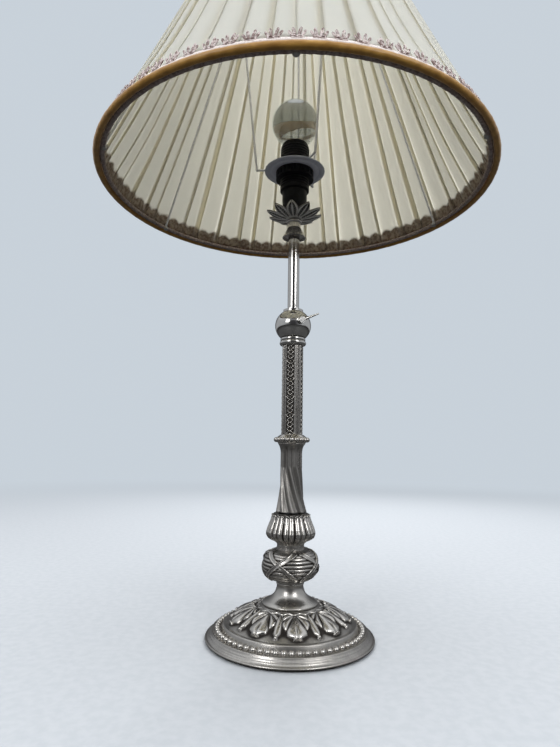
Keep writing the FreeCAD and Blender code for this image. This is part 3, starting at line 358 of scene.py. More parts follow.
# ---- beads of the foot ----
# A ring of sixty-four plain half-round beads, cast in one with the ledge that they stand on. One
# bead is turned here, and a node tree repeats it.
def around(name, part, count, first=0.0, jitter=0.0):
    """Mesh of a part, modelled at the front, repeated round the Z axis by a node tree."""
    tree = bpy.data.node_groups.new(name, "GeometryNodeTree")
    tree.interface.new_socket("Geometry", in_out="OUTPUT", socket_type="NodeSocketGeometry")
    kinds = {"Part": "NodeSocketObject", "Count": "NodeSocketInt", "First": "NodeSocketFloat",
             "Jitter": "NodeSocketFloat", "Finish": "NodeSocketMaterial"}
    for label, kind in kinds.items():
        tree.interface.new_socket(label, in_out="INPUT", socket_type=kind)
    start = Wire(tree)
    given = {label: start.node("NodeGroupInput", out=label) for label in kinds}
    points = start.node("GeometryNodePoints", {}, {"Count": given["Count"]})
    index = start.node("GeometryNodeInputIndex")
    bounds = {2: given["Jitter"] * -1.0, 3: given["Jitter"], "Seed": 7}
    shift = start.node("FunctionNodeRandomValue", {}, bounds, 1)
    turn = (index * 360.0 / given["Count"] + given["First"] + shift) * math.radians(1.0)
    rotation = start.node("ShaderNodeCombineXYZ", {}, {"Z": turn})
    shape = start.node("GeometryNodeObjectInfo", {}, {"Object": given["Part"]}, "Geometry")
    placed = start.node("GeometryNodeInstanceOnPoints", {},
                        {"Points": points, "Instance": shape, "Rotation": rotation})
    solid = start.node("GeometryNodeRealizeInstances", {}, {"Geometry": placed})
    coated = start.node("GeometryNodeSetMaterial", {}, {"Geometry": solid, "Material": given["Finish"]})
    start.node("NodeGroupOutput", {}, {"Geometry": coated})
    source = bpy.data.objects.new(name + "_part", part)
    mesh = made_by(tree, name, {"Part": source, "Count": count, "First": first, "Jitter": jitter,
                                "Finish": part.materials[0]})
    bpy.data.objects.remove(source)
    return mesh


def made_by(tree, name, values):
    """Plain mesh that a geometry node tree makes from its named inputs."""
    carrier = bpy.data.objects.new(name + "_carrier", bpy.data.meshes.new(name + "_carrier"))
    scene.collection.objects.link(carrier)
    modifier = carrier.modifiers.new("rule", "NODES")
    modifier.node_group = tree
    for item in tree.interface.items_tree:
        if item.in_out == "INPUT" and item.name in values:
            modifier[item.identifier] = values[item.name]
    evaluated = carrier.evaluated_get(bpy.context.evaluated_depsgraph_get())
    mesh = bpy.data.meshes.new_from_object(evaluated)
    mesh.name = name
    bpy.data.objects.remove(carrier)
    return mesh


def lathe(name, outline, steps, centre=(0.0, 0.0), loop=False):
    """Turned mesh of an outline from pole to pole, or of a closed loop, about an upright line."""
    outline = np.array(outline, float)
    turn = np.radians(np.arange(steps) * 360.0 / steps)[None, :]
    reach, rise = outline[:, :1], outline[:, 1:]
    points = np.stack([reach * np.sin(turn) + centre[0], -reach * np.cos(turn) + centre[1],
                       rise + 0 * turn], axis=-1)
    return grid_mesh(name, points, loop=loop)


BEAD_COUNT = 64
BEAD_RING = 60.7
bead_outline = [(0.3, 7.2)] + [(2.3 * math.cos(a), 9.0 + 2.5 * math.sin(a))
                               for a in np.radians(np.linspace(-20, 84, 8))]
bead = lathe("bead", bead_outline, 12, (0.0, -BEAD_RING))
bead.materials.append(aged_silver)
beads = around("foot_beads", bead, BEAD_COUNT, first=1.6)
add_piece(beads, "stand", "aged_silver", aged_silver)


# ---- trumpet foot ----
# Turned and plated tie piece between foot and knop: a straight neck that flares at its foot into
# a flat rim over the tops of the leaves.
trumpet_outline = [(22.6, 27.65), (23.3, 28.0), (23.5, 28.6), (23.3, 29.2), (22.7, 29.5), (22.3, 30.0),
                   (20.4, 31.0), (17.8, 32.3), (15.6, 33.8), (13.8, 35.6), (12.5, 37.8), (11.7, 40.2),
                   (11.4, 42.0), (11.4, 43.4), (11.9, 44.0), (11.9, 45.15), (5.1, 45.15), (5.1, 27.65)]
satin_silver = metal("satin_silver", (0.46, 0.445, 0.42, 1.0), (0.09, 0.08, 0.07, 1.0), 0.27, 0.5)
trumpet = lathe("trumpet_neck", trumpet_outline, 144, loop=True)
add_piece(trumpet, "stand", "aged_silver", satin_silver, "trumpet_foot")


# ---- knop ----
# Cast ball turned with round reeds, with flat ribbons crossing over them at four places, all
# in one piece. Its neck stands on the trumpet foot.
RIBBON_PERIOD = 90.0
RIBBON_FIRST = -25.0
RIBBON_HALF = 1.65
REED_CRESTS = np.array([46.2, 48.0, 49.9, 52.4, 55.4, 58.4, 61.5, 64.7, 67.5, 69.6, 71.4, 73.0])


def knop_relief(radius, height, angle):
    """Reeds round the ball and four crossings of two slanting ribbons."""
    gap = np.abs(height[..., None] - REED_CRESTS)
    reed = 1.7 * (np.sqrt(np.clip(1 - (gap.min(axis=-1) / 1.75) ** 2, 0, 1)) - 1) * (radius > 14.0)
    beside = from_centre(angle, RIBBON_FIRST, RIBBON_PERIOD)
    ribbons = 0 * beside - 9.0
    for hand in (1.0, -1.0):
        middle = 62.2 + hand * beside * 0.27 - 0.0008 * beside ** 2
        off = np.abs(height - middle) * 0.85
        edge = 0.55 + 0.35 * np.exp(-((off - 1.3) / 0.35) ** 2)
        edge = edge - 0.25 * (hand < 0) * (np.abs(beside) < 5)
        on_ribbon = (off < RIBBON_HALF) & (radius > 13.5) & (np.abs(beside) < 42)
        ribbons = np.where(on_ribbon, np.maximum(ribbons, edge), ribbons)
    return np.where(ribbons > -5, ribbons, reed)


knop_outside = [(11.9, 45.2), (11.9, 46.6)]
knop_outside += [(11.9 + 12.2 * math.cos(a) ** 0.8, 59.6 + 12.3 * math.sin(a))
                 for a in np.radians(np.linspace(-78, 78, 70))]
knop_outside += [(11.9, 72.6), (11.9, 73.95)]
knop_inside = [(11.9, 73.95), (5.05, 73.95), (5.05, 45.2), (11.9, 45.2)]
outline = np.concatenate([traced(knop_outside, 0.4), traced(knop_inside, 3.0)])
knop = carved_shell("reeded_knop", outline, 400, knop_relief, 0.7, 4.0)
add_piece(knop, "stand", "aged_silver", aged_silver, "knop")


# ---- petal cup ----
# Cast cup of twelve pairs of bellied petals. They narrow to scalloped tops that stand round the
# foot of the column, and turn in under the belly to the neck.
PAIR_PERIOD = 30.0
PAIR_FIRST = 10.5


def cup_relief(radius, height, angle):
    """Pairs of round petals with a deeper gap between two pairs."""
    place = (angle - PAIR_FIRST) % PAIR_PERIOD
    ridge = np.minimum(np.abs(place - 8.4), np.abs(place - 21.2))
    petal = np.sqrt(np.clip(1 - (ridge / 7.2) ** 2, 0, 1))
    deep = np.interp(height, [75.5, 79.0, 83.0, 91.0, 98.0, 101.2], [0.0, 1.0, 2.3, 2.1, 1.5, 1.0])
    top = 101.6 - 0.035 * ridge ** 2
    gap = np.minimum(place, PAIR_PERIOD - place)
    arrow = round_bar(gap - 0.4 * (101.0 - height), 0.9, 0.5) * (height > 95.5) * (height < 101.0)
    lip = round_bar(height - top + 0.5, 0.6, 0.5)
    carved = deep * (petal - 1) * (1 + 0.25 * (gap < 2.2)) + arrow * 0.9
    carved = np.where(height > top, -1.5, carved + lip)
    return np.where(height > 74.9, carved, 0.0)


cup_outside = [(11.7, 74.0), (11.7, 76.2), (12.3, 77.4), (14.6, 79.0), (18.2, 80.6), (20.4, 82.2),
               (21.4, 84.4), (21.3, 86.8), (20.3, 90.2), (18.9, 93.6), (17.7, 96.6), (16.8, 99.4),
               (16.2, 102.0), (15.7, 103.2)]
cup_inside = [cup_outside[-1], (7.1, 103.35), (7.1, 74.0), (11.7, 74.0)]
outline = np.concatenate([traced(cup_outside, 0.4), traced(cup_inside, 3.0)])
cup = carved_shell("petal_cup_cast", outline, 480, cup_relief, 1.1, 4.0)
add_piece(cup, "stand", "aged_silver", aged_silver, "petal_cup")


# ---- twisted column ----
# Cast shaft with nine broad hollow flutes between thin ridges. The flutes turn over the lower two
# thirds and then run straight up to the flared top. A node tree bends a grid to that rule.
column_rule = bpy.data.node_groups.new("column_rule", "GeometryNodeTree")
column_rule.interface.new_socket("Geometry", in_out="OUTPUT", socket_type="NodeSocketGeometry")
column_sizes = {"Foot": 13.6, "Waist": 9.7, "Top": 12.2, "Bore": 7.1, "Base": 103.4, "Tall": 58.55,
                "Flutes": 9.0, "Depth": 2.1, "Twist": -60.0, "Turn": 86.5}
for label in column_sizes:
    column_rule.interface.new_socket(label, in_out="INPUT", socket_type="NodeSocketFloat")
column_rule.interface.new_socket("Finish", in_out="INPUT", socket_type="NodeSocketMaterial")
start = Wire(column_rule)
given = {label: start.node("NodeGroupInput", out=label) for label in list(column_sizes) + ["Finish"]}
ROWS = 96              # of the outside; three more close the top and line the bore
WAIST_AT = 0.72        # shares of the height: end of the foot's flare, start of the top's, end of the turn
TOP_FROM = 0.84
TURNS_TO = 0.65
grid = start.node("GeometryNodeMeshGrid", {}, {0: 1.0, 1: 1.0, 2: 361, 3: ROWS + 4})
place = start.node("GeometryNodeInputPosition")
row = (place.part("Y") + 0.5) * (ROWS + 3.0)
angle = (place.part("X") + 0.5) * 360.0
bored = row.maths("GREATER_THAN", ROWS + 0.5) * row.maths("LESS_THAN", ROWS + 2.5)
up = (row / ROWS).maths("MINIMUM", 1.0) * row.maths("LESS_THAN", ROWS + 1.5)
foot_flare = (1.0 - up / WAIST_AT).maths("MAXIMUM", 0.0) ** 3.0
top_flare = ((up - TOP_FROM) / (1.0 - TOP_FROM)).maths("MAXIMUM", 0.0) ** 2.5
twisted = given["Twist"] * (up / TURNS_TO).maths("MINIMUM", 1.0)
phase = (angle - given["Turn"] - twisted) * given["Flutes"]
ridge = abs((phase * math.radians(0.5)).maths("COSINE"))
flute = (1.0 - ridge ** 2.0) * up.spread(1.0, 0.9)
radius = (given["Waist"] + (given["Foot"] - given["Waist"]) * foot_flare
          + (given["Top"] - given["Waist"]) * top_flare - given["Depth"] * flute)
radius = (radius * (1.0 - bored) + given["Bore"] * bored) * 0.001
turn = (angle - 90.0) * math.radians(1.0)
moved = start.node("ShaderNodeCombineXYZ", {}, {
    "X": radius * turn.maths("COSINE"), "Y": radius * turn.maths("SINE"),
    "Z": (given["Base"] + given["Tall"] * up) * 0.001})
shaped = start.node("GeometryNodeSetPosition", {}, {"Geometry": grid, "Position": moved})
# The flutes are painted darker than the ridges, for tarnish and painted shade.
marked = start.node("GeometryNodeStoreNamedAttribute", {"data_type": "FLOAT", "domain": "POINT"},
                    {"Geometry": shaped, "Name": "hollow", "Value": flute * 0.55 - 0.22})
welded = start.node("GeometryNodeMergeByDistance", {}, {"Geometry": marked, "Distance": 0.00001})
coated = start.node("GeometryNodeSetMaterial", {}, {"Geometry": welded, "Material": given["Finish"]})
start.node("NodeGroupOutput", {}, {"Geometry": coated})
column = made_by(column_rule, "fluted_column", dict(column_sizes, Finish=aged_silver))
add_piece(column, "stand", "aged_silver", aged_silver, "twisted_column")


# ---- lattice sleeve ----
# Tube with four cast strips of plaited strapwork on a sunk ground, plain lines at their edges and
# a single raised line in each plain field between two strips.
STRIP_PERIOD = 90.0
STRIP_FIRST = -12.0
STRIP_HALF = 23.0      # degrees to each side of a strip's middle that are sunk
REPEAT = 16.08         # mm up the strip
LINK_ENDS = np.array([0.0, 0.28, 0.52, 0.76, 1.0])
DEGREE = 0.165         # mm along the tube's surface
SLEEVE_BASE, SLEEVE_TOP, SLEEVE_RADIUS, SLEEVE_BORE = 169.65, 249.95, 9.25, 7.1


def sleeve_relief(radius, height, angle):
    """Two straps that bow apart and cross again four times in each repeat."""
    part = ((height - 169.6) / REPEAT + 0.10) % 1.0
    link = np.clip(np.searchsorted(LINK_ENDS, part, side="right") - 1, 0, 3)
    share = (part - LINK_ENDS[link]) / (LINK_ENDS[link + 1] - LINK_ENDS[link])
    bow = np.where(link == 0, 20.0, 15.0) * np.sin(math.pi * share)
    beside = np.abs(from_centre(angle, STRIP_FIRST, STRIP_PERIOD))
    strap = round_bar((beside - bow) * DEGREE, 0.72, 1.0)
    dot = round_bar(np.hypot(beside * DEGREE, (part - 0.14) * REPEAT), 0.75, 0.7)
    edge = round_bar((beside - 27.5) * DEGREE, 0.35, 0.3)
    field = round_bar((beside - 40.0) * DEGREE, 0.4, 0.5) * (beside > 36)
    sunk = np.where(beside < STRIP_HALF, -0.75, 0.0)
    raised = sunk + np.maximum(strap, dot) * (beside < 25.5)
    return np.where((radius > 8.5) & (height > 170.2) & (height < 249.4), raised + edge + field, 0.0)


sleeve_inside = [(SLEEVE_RADIUS, SLEEVE_TOP), (SLEEVE_BORE, SLEEVE_TOP), (SLEEVE_BORE, SLEEVE_BASE),
                 (SLEEVE_RADIUS, SLEEVE_BASE)]
outline = np.concatenate([traced([(SLEEVE_RADIUS, SLEEVE_BASE), (SLEEVE_RADIUS, SLEEVE_TOP)], 0.32),
                          traced(sleeve_inside, 5.0)])
sleeve = carved_shell("strapwork_sleeve", outline, 352, sleeve_relief, 0.30, 3.0)
add_piece(sleeve, "stand", "aged_silver", aged_silver, "lattice_sleeve")


# ---- small visible parts that keep their modelled shape ----
# Turned and drawn parts whose form is already full, each with a finish of its own metal,
# plastic, porcelain or wire.
polished_silver = metal("polished_silver", (0.56, 0.55, 0.53, 1.0), (0.13, 0.12, 0.11, 1.0), 0.10, 0.4)
bright_brass = metal("bright_brass", (0.80, 0.58, 0.25, 1.0), (0.20, 0.12, 0.05, 1.0), 0.22)
steel = metal("steel", (0.50, 0.50, 0.50, 1.0), (0.10, 0.10, 0.10, 1.0), 0.30)
cap_metal = metal("cap_metal", (0.62, 0.61, 0.58, 1.0), (0.15, 0.14, 0.13, 1.0), 0.25)


def plain(name, colour, deep, roughness, scale=300.0, bump=0.1, shine=0.5):
    """Matt or glossy stuff that isn't metal, with a slight unevenness in tone and surface."""
    material, start = new_material(name)
    place = start.node("ShaderNodeTexCoord", out="Object")
    grain = place.noise(scale, 4.0)
    height = start.shader("Bump", {"Height": grain, "Strength": bump, "Distance": 0.0004})
    tone = grain.spread(0.25, 0.75).blend(deep, colour)
    finished(start, start.shader("BsdfPrincipled", {
        "Base Color": tone, "Roughness": grain * 0.15 + roughness, "Specular IOR Level": shine,
        "Normal": height}))
    return material


black_plastic = plain("black_plastic", (0.009, 0.009, 0.012, 1.0), (0.004, 0.004, 0.005, 1.0), 0.36,
                      shine=0.16)
porcelain = plain("porcelain", (0.80, 0.78, 0.73, 1.0), (0.72, 0.70, 0.65, 1.0), 0.15)
white_wire = plain("white_wire", (0.86, 0.86, 0.88, 1.0), (0.72, 0.72, 0.74, 1.0), 0.35)
coatings = {"aged_silver": aged_silver, "polished_silver": polished_silver,
            "bright_brass": bright_brass, "steel": steel, "cap_metal": cap_metal,
            "black_plastic": black_plastic, "porcelain": porcelain, "white_wire": white_wire}
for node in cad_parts.values():
    for index, material in enumerate(node.data.materials):
        coating = coatings.get(material.name.split(".")[0]) if material else None
        if coating:
            node.data.materials[index] = coating


# ---- pleated cloth ----
# Cream silk-like cloth laid in forty-eight hand-set knife pleats and stretched over the wires, from
# ring to ring. Each pleat laps over the next, so every fold is three layers deep.
shade_cloth, start = new_material("shade_cloth_pleated")
place = start.node("ShaderNodeTexCoord", out="Object")
threads = place.noise(900.0, 2.0, (1.0, 1.0, 0.12))
slubs = place.noise(220.0, 3.0, (1.0, 1.0, 0.05))
layers = start.node("ShaderNodeAttribute", {"attribute_name": "layers"}, out="Fac")
within = start.node("ShaderNodeAttribute", {"attribute_name": "within"}, out="Fac")
# Where the pleats lap, the stacked layers are painted darker and yellower, by a share that differs from
# pleat to pleat, as painted shade of the light coming through them.
tone = layers.blend((0.88, 0.88, 0.82, 1.0), (0.87, 0.83, 0.71, 1.0))
# The outer face is painted greyer and the inner face creamier and brighter, as painted light coming
# through the cloth.
tone = within.blend((0.80, 0.81, 0.77, 1.0), tone)
tone = (slubs.spread(0.3, 0.7) * 0.3).blend(tone, (0.86, 0.85, 0.80, 1.0))
# Inside the bottom edge a brown band with a scalloped top is painted as the shadow of the braid outside,
# which holds back the light through the cloth.
scallop = abs((place.part("X").maths("ARCTAN2", place.part("Y")) * 38.5).maths("SINE")) * 0.0028
ragged = place.part("Z") - scallop + (place.noise(160.0) - 0.5) * 0.005
braid_shadow = ragged.spread(0.4165, 0.4125) * (within * 0.85 + 0.1)
braid_shadow_tone = place.noise(330.0).spread(0.35, 0.65).blend((0.20, 0.13, 0.09, 1.0), (0.45, 0.36, 0.26, 1.0))
tone = braid_shadow.blend(tone, braid_shadow_tone)
weave = start.shader("Bump", {"Height": threads + slubs, "Strength": 0.12, "Distance": 0.0003})
front = start.shader("BsdfPrincipled", {"Base Color": tone, "Roughness": 0.75, "Normal": weave})
through = start.shader("BsdfTranslucent", {"Color": (0.92, 0.90, 0.83, 1.0)})
finished(start, start.shader("MixShader", {0: layers * 0.36 + 0.5 - braid_shadow * 0.6, 1: front, 2: through}))

CLOTH_LOW, CLOTH_HIGH = 405.5, 652.2
CLOTH_OUT = 3.9       # from the cone through the rings to the outer layer
SINK = 5.0            # inwards, midway between two struts
PUFF = 0.9            # outwards, on the open part of a pleat
RING_LOW, RING_HIGH = (173.1, 402.85), (65.0, 654.85)
STRUTS = [0.0, 60.5, 117.5, 178.0, 237.5, 293.5]
PLEATS = 48
rng = np.random.default_rng(11)


def cone(height):
    """Radius of the straight cone through both rings."""
    return np.interp(height, [RING_LOW[1], RING_HIGH[1]], [RING_LOW[0], RING_HIGH[0]])


def sink(height, angle):
    """How far the stretched cloth sinks inwards between two struts."""
    between = np.interp(angle % 360, STRUTS + [360.0], np.arange(7)) % 1.0
    share = np.interp(height, [405.0, 478.0, 652.0], [0.0, 1.0, 0.0])
    return SINK * np.sin(math.pi * between) ** 2 * np.sin(share * math.pi / 2)


def pleat_lines(spread):
    """Directions where the pleats start, a little uneven as set by hand."""
    widths = 1 + spread * rng.uniform(-1, 1, PLEATS)
    return np.concatenate([[0.0], np.cumsum(widths / widths.sum() * 360.0)])


low_lines = pleat_lines(0.34)
high_lines = low_lines + np.append(rng.uniform(-1.7, 1.7, PLEATS), 0.0)
high_lines[-1] = high_lines[0] + 360.0
laps = np.stack([rng.uniform(0.10, 0.28, PLEATS), rng.uniform(0.16, 0.38, PLEATS)])
# how much painted shade each pleat's folded strips get
fold_shade_shares = rng.uniform(0.25, 1.0, PLEATS)
laps = np.concatenate([laps, laps[:, :1]], axis=1)
LAYER = 0.42          # from one layer of a fold to the next
SHEET = 0.3           # cloth thickness
heights = np.concatenate([np.linspace(CLOTH_LOW, 430, 8), np.linspace(430, 630, 24)[1:],
                          np.linspace(630, CLOTH_HIGH, 5)[1:]])
rows = []
for height in heights:
    share = (height - CLOTH_LOW) / (CLOTH_HIGH - CLOTH_LOW)
    lines = low_lines + (high_lines - low_lines) * share
    lap = laps[0] + (laps[1] - laps[0]) * share
    angles, lifts, deep = [], [], []
    for pleat in range(PLEATS):
        width = lines[pleat + 1] - lines[pleat]
        before = lines[pleat] - lap[pleat] * (width if pleat else lines[PLEATS] - lines[PLEATS - 1])
        fold = lines[pleat + 1]
        back = fold - lap[pleat + 1] * width
        # lowest layer, under the fold of the pleat before
        angles += list(before + (lines[pleat] - before) * np.array([0.0, 0.5, 1.0]))
        lifts += [-2.0 * LAYER] * 3
        deep += [fold_shade_shares[pleat]] * 3
        # open part, rising to the outer layer
        span = np.array([0.12, 0.3, 0.5, 0.7, 0.88, 0.985])
        angles += list(lines[pleat] + width * span)
        lifts += list(-2.0 * LAYER * (1 - span) + PUFF * np.sin(math.pi * span))
        deep += [0.0, 0.0, 0.0, 0.1, fold_shade_shares[pleat], fold_shade_shares[pleat]]
        # folded back under itself, as the middle layer
        angles += [fold, fold - 0.08 * width, (fold + back) / 2, back + 0.05 * width, back]
        lifts += [-0.5 * LAYER, -1.0 * LAYER, -1.0 * LAYER, -1.0 * LAYER, -1.5 * LAYER]
        deep += [fold_shade_shares[pleat]] * 5
    rows.append((np.array(angles), np.array(lifts), np.array(deep)))
angles = np.stack([row[0] for row in rows])
lifts = np.stack([row[1] for row in rows]) * (0.45 + 0.55 * cone(heights) / RING_LOW[0])[:, None]
reach = cone(heights)[:, None] + CLOTH_OUT - sink(heights[:, None], angles) + lifts
turn = np.radians(angles)
middle = np.stack([reach * np.sin(turn), -reach * np.cos(turn), heights[:, None] + 0 * turn], axis=-1)
run = np.roll(middle, -1, axis=1) - np.roll(middle, 1, axis=1)
side = np.stack([run[..., 1], -run[..., 0], 0 * turn], axis=-1)
side /= np.linalg.norm(side, axis=-1)[..., None]
points = np.concatenate([middle + side * SHEET / 2, (middle - side * SHEET / 2)[::-1]])
deep = np.concatenate([np.stack([row[2] for row in rows])] * 2)
cloth = grid_mesh("pleated_silk", points)
within = np.zeros(deep.shape)
within[len(heights):] = 1.0
for label, values in (("layers", deep), ("within", within)):
    attribute = cloth.attributes.new(label, "FLOAT", "POINT")
    attribute.data.foreach_set("value", values.astype(np.float32).ravel())
cloth = add_piece(cloth, "shade", "shade_cloth", shade_cloth, "pleated_cloth")


# ---- ring wires ----
# Steel rings wound with a narrow brown-grey cotton tape, so that the cloth can be sewn to them. The
# tape's overlapping turns show as slanting ridges.
tape_cotton, start = new_material("tape_cotton")
place = start.node("ShaderNodeTexCoord", out="Object")
grain = place.noise(500.0, 4.0)
height = start.shader("Bump", {"Height": grain, "Strength": 0.3, "Distance": 0.0004})
finished(start, start.shader("BsdfPrincipled", {
    "Base Color": grain.spread(0.3, 0.7).blend((0.24, 0.18, 0.16, 1.0), (0.42, 0.35, 0.33, 1.0)),
    "Roughness": 0.85, "Normal": height}))

RING_SIDES = 16
TAPED = 1.95          # radius of the wire with its tape


def ring(name, radius, height, tube, steps, lift):
    """Closed ring of round section. lift(along, round) gives the relief on its surface."""
    along = np.radians(np.arange(steps) * 360.0 / steps)[None, :]
    section = np.radians(np.arange(RING_SIDES) * 360.0 / RING_SIDES)[:, None]
    thick = tube + lift(along, section)
    reach = radius + thick * np.cos(section)
    return grid_mesh(name, np.stack([reach * np.sin(along), -reach * np.cos(along),
                                     height + thick * np.sin(section) + 0 * along], axis=-1))


for name, (radius, height), turns in (("bottom", RING_LOW, 150), ("top", RING_HIGH, 56)):
    wound = ring(name + "_ring_taped", radius, height, TAPED, turns * 6,
                 lambda along, section: 0.22 * ((along * turns + section) / (2 * math.pi) % 1.0) - 0.08)
    add_piece(wound, "shade", "white_wire", tape_cotton, name + "_ring_wire")


# ---- solder at the struts ----
# Small dull lumps of solder where the six upright wires meet the bottom ring. Each is a
# slightly flattened ball on the ring.
solder_metal = metal("solder", (0.42, 0.41, 0.40, 1.0), (0.12, 0.12, 0.12, 1.0), 0.4)
LUMP_WIDE, LUMP_DEEP = 2.9, 2.5
rise_turn = np.radians(np.linspace(-84, 84, 9))[:, None]
round_turn = np.radians(np.arange(14) * 360.0 / 14)[None, :]
across = LUMP_WIDE * np.cos(rise_turn) * np.cos(round_turn)
reach = RING_LOW[0] - 1.0 + LUMP_DEEP * np.cos(rise_turn) * np.sin(round_turn)
height = RING_LOW[1] - 0.6 + LUMP_WIDE * np.sin(rise_turn) + 0 * round_turn
lumps = []
for strut in STRUTS:
    sine, cosine = math.sin(math.radians(strut)), math.cos(math.radians(strut))
    lumps.append(np.stack([reach * sine + across * cosine, across * sine - reach * cosine, height],
                          axis=-1))
add_piece(grid_mesh("strut_solder", *lumps, loop=False), "shade", "steel", solder_metal)


# ---- piping ----
# Amber satin rolled over a cord and sewn round both edges of the shade. The bias-cut satin has
# slight slanting wrinkles and a soft shine.
amber_satin, start = new_material("amber_satin")
place = start.node("ShaderNodeTexCoord", out="Object")
wrinkles = place.noise(120.0, 3.0, (1.0, 1.0, 2.5))
threads = place.noise(1400.0, 2.0)
height = start.shader("Bump", {"Height": wrinkles + threads * 0.3, "Strength": 0.25, "Distance": 0.0006})
# The satin is painted darker in its wrinkles' troughs and lighter on their crests, as painted shade and
# highlight.
finished(start, start.shader("BsdfPrincipled", {
    "Base Color": wrinkles.spread(0.3, 0.7).blend((0.37, 0.18, 0.028, 1.0), (0.51, 0.27, 0.05, 1.0)),
    "Roughness": 0.42, "Sheen Weight": 0.35, "Sheen Roughness": 0.4, "Normal": height}))

PIPING = 2.74         # radius
PIPING_OUT = 5.17     # from the ring wire's middle to the piping's


def wrinkled(along, section):
    """Low slanting wrinkles of the bias-cut satin."""
    fine = np.sin(along * 143 - section * 3 + np.sin(along * 9))
    return 0.06 * np.sin(along * 61 + section * 2) + 0.05 * fine


for name, (radius, height), drop, count in (("bottom", RING_LOW, -0.55, 720),
                                            ("top", RING_HIGH, 0.55, 300)):
    roll = ring(name + "_piping_roll", radius + PIPING_OUT, height + drop, PIPING, count, wrinkled)
    add_piece(roll, "shade", "amber_satin", amber_satin, "piping_" + name)


# ---- braid ----
# Narrow rose-white gimp sewn over each edge of the cloth: a corded base with clusters of small
# upright loops. The same braid goes round the top, with its loops downwards.
rose_braid, start = new_material("rose_gimp")
place = start.node("ShaderNodeTexCoord", out="Object")
brown_patches = place.noise(420.0, 2.0)
height = start.shader("Bump", {"Height": place.noise(1500.0), "Strength": 0.4, "Distance": 0.0004})
# The gimp is rose-white, patched dark brown where a noise is high.
finished(start, start.shader("BsdfPrincipled", {
    "Base Color": brown_patches.spread(0.42, 0.60).blend((0.22, 0.14, 0.125, 1.0), (0.72, 0.62, 0.60, 1.0)),
    "Roughness": 0.7, "Sheen Weight": 0.3, "Normal": height}))
cream_gimp = plain("cream_gimp", (0.84, 0.79, 0.76, 1.0), (0.62, 0.52, 0.48, 1.0), 0.7, 700.0, 0.5)

CLUSTER_COUNTS = {"bottom": 77, "top": 31}
BRAID_OUT = 5.35      # from the cone through the rings
SLOPE = 0.919         # rise for each mm along the cloth
PICOT_CORD = 0.52
BASE_CORD = 0.55
PICOTS = [(-2.9, -0.45, 5.0, 0.8), (-1.2, -0.15, 8.5, 0.9), (1.0, 0.2, 9.0, 0.9), (3.0, 0.45, 5.5, 0.8)]


def on_shade(side, rise, out, low, hand):
    """Point by the cloth: sideways from the front, along the slope from an edge, and outwards."""
    z = low + hand * rise * SLOPE
    reach = cone(z) + BRAID_OUT + out
    turn = side / reach
    return np.stack([reach * np.sin(turn), -reach * np.cos(turn), z + 0 * side], axis=-1)


def cord(path, radius):
    """Closed cord of five sides along a loop of points."""
    run = np.roll(path, -1, axis=0) - np.roll(path, 1, axis=0)
    run /= np.linalg.norm(run, axis=1)[:, None]
    across = np.cross(run, path * [1.0, 1.0, 0.0] / np.linalg.norm(path[:, :2], axis=1)[:, None])
    across /= np.linalg.norm(across, axis=1)[:, None]
    out = np.cross(across, run)
    turn = (np.arange(5) * 2 * math.pi / 5)[:, None, None]
    return path + radius * (across * np.cos(turn) + out * np.sin(turn))


bend = np.linspace(0, 2 * math.pi, 14, endpoint=False)
for name, low, hand in (("bottom", 405.9, 1.0), ("top", 651.8, -1.0)):
    loops = []
    for foot, lean, tall, wide in PICOTS:
        along = (1 - np.cos(bend)) / 2 * tall
        side = foot + lean * along + wide * np.sin(bend) * np.sqrt(np.clip(along / tall, 0, 1))
        loops.append(cord(on_shade(side, 5.2 + along, 0.5 + 0.9 * along / tall, low, hand), PICOT_CORD))
    for foot in (-1.6, 1.8):
        side = foot + 2.0 * np.cos(bend)
        path = on_shade(side, 4.6 + 1.4 * np.sin(bend), 0.55 + 0 * bend, low, hand)
        loops.append(cord(path, BASE_CORD))
    cluster = grid_mesh(name + "_picot_cluster", *loops)
    cluster.materials.append(rose_braid)
    picots = around(name + "_picots", cluster, CLUSTER_COUNTS[name], jitter=0.25)
    add_piece(picots, "shade", "rose_braid", rose_braid)
    z_low, z_high = sorted((low, low + hand * 4.2))
    narrow, wide = cone(z_high), cone(z_low)
    if hand > 0:
        band = [(wide + 5.05, z_low), (wide + 5.9, z_low + 0.1), (cone(low + 1.0) + 6.2, low + 1.4),
                (narrow + 5.7, z_high), (narrow + 5.05, z_high)]
    else:
        band = [(wide + 5.05, z_low), (wide + 5.7, z_low), (cone(low - 1.0) + 6.2, low - 1.4),
                (narrow + 5.9, z_high - 0.1), (narrow + 5.05, z_high)]
    base = lathe(name + "_braid_base", band, 360, loop=True)
    add_piece(base, "shade", "rose_braid", cream_gimp, "braid_" + name)


# ---- carrier washer ----
# Pressed steel disc, painted pale lilac-grey, that sits between the two ring nuts and carries the
# three arms. It has a shallow pressed step.
washer_paint = plain("washer_paint", (0.80, 0.82, 0.90, 1.0), (0.70, 0.72, 0.80, 1.0), 0.35, 90.0)
washer_outline = [(19.0, 418.1), (22.2, 418.2), (22.8, 418.75), (23.6, 418.75), (24.4, 418.3),
                  (28.1, 418.25), (28.55, 418.5), (28.55, 418.95), (28.2, 419.24), (24.0, 419.24),
                  (23.3, 419.2), (14.55, 419.2), (14.55, 418.15)]
washer = lathe("pressed_washer", washer_outline, 128, loop=True)
add_piece(washer, "shade", "white_wire", washer_paint, "carrier_washer")


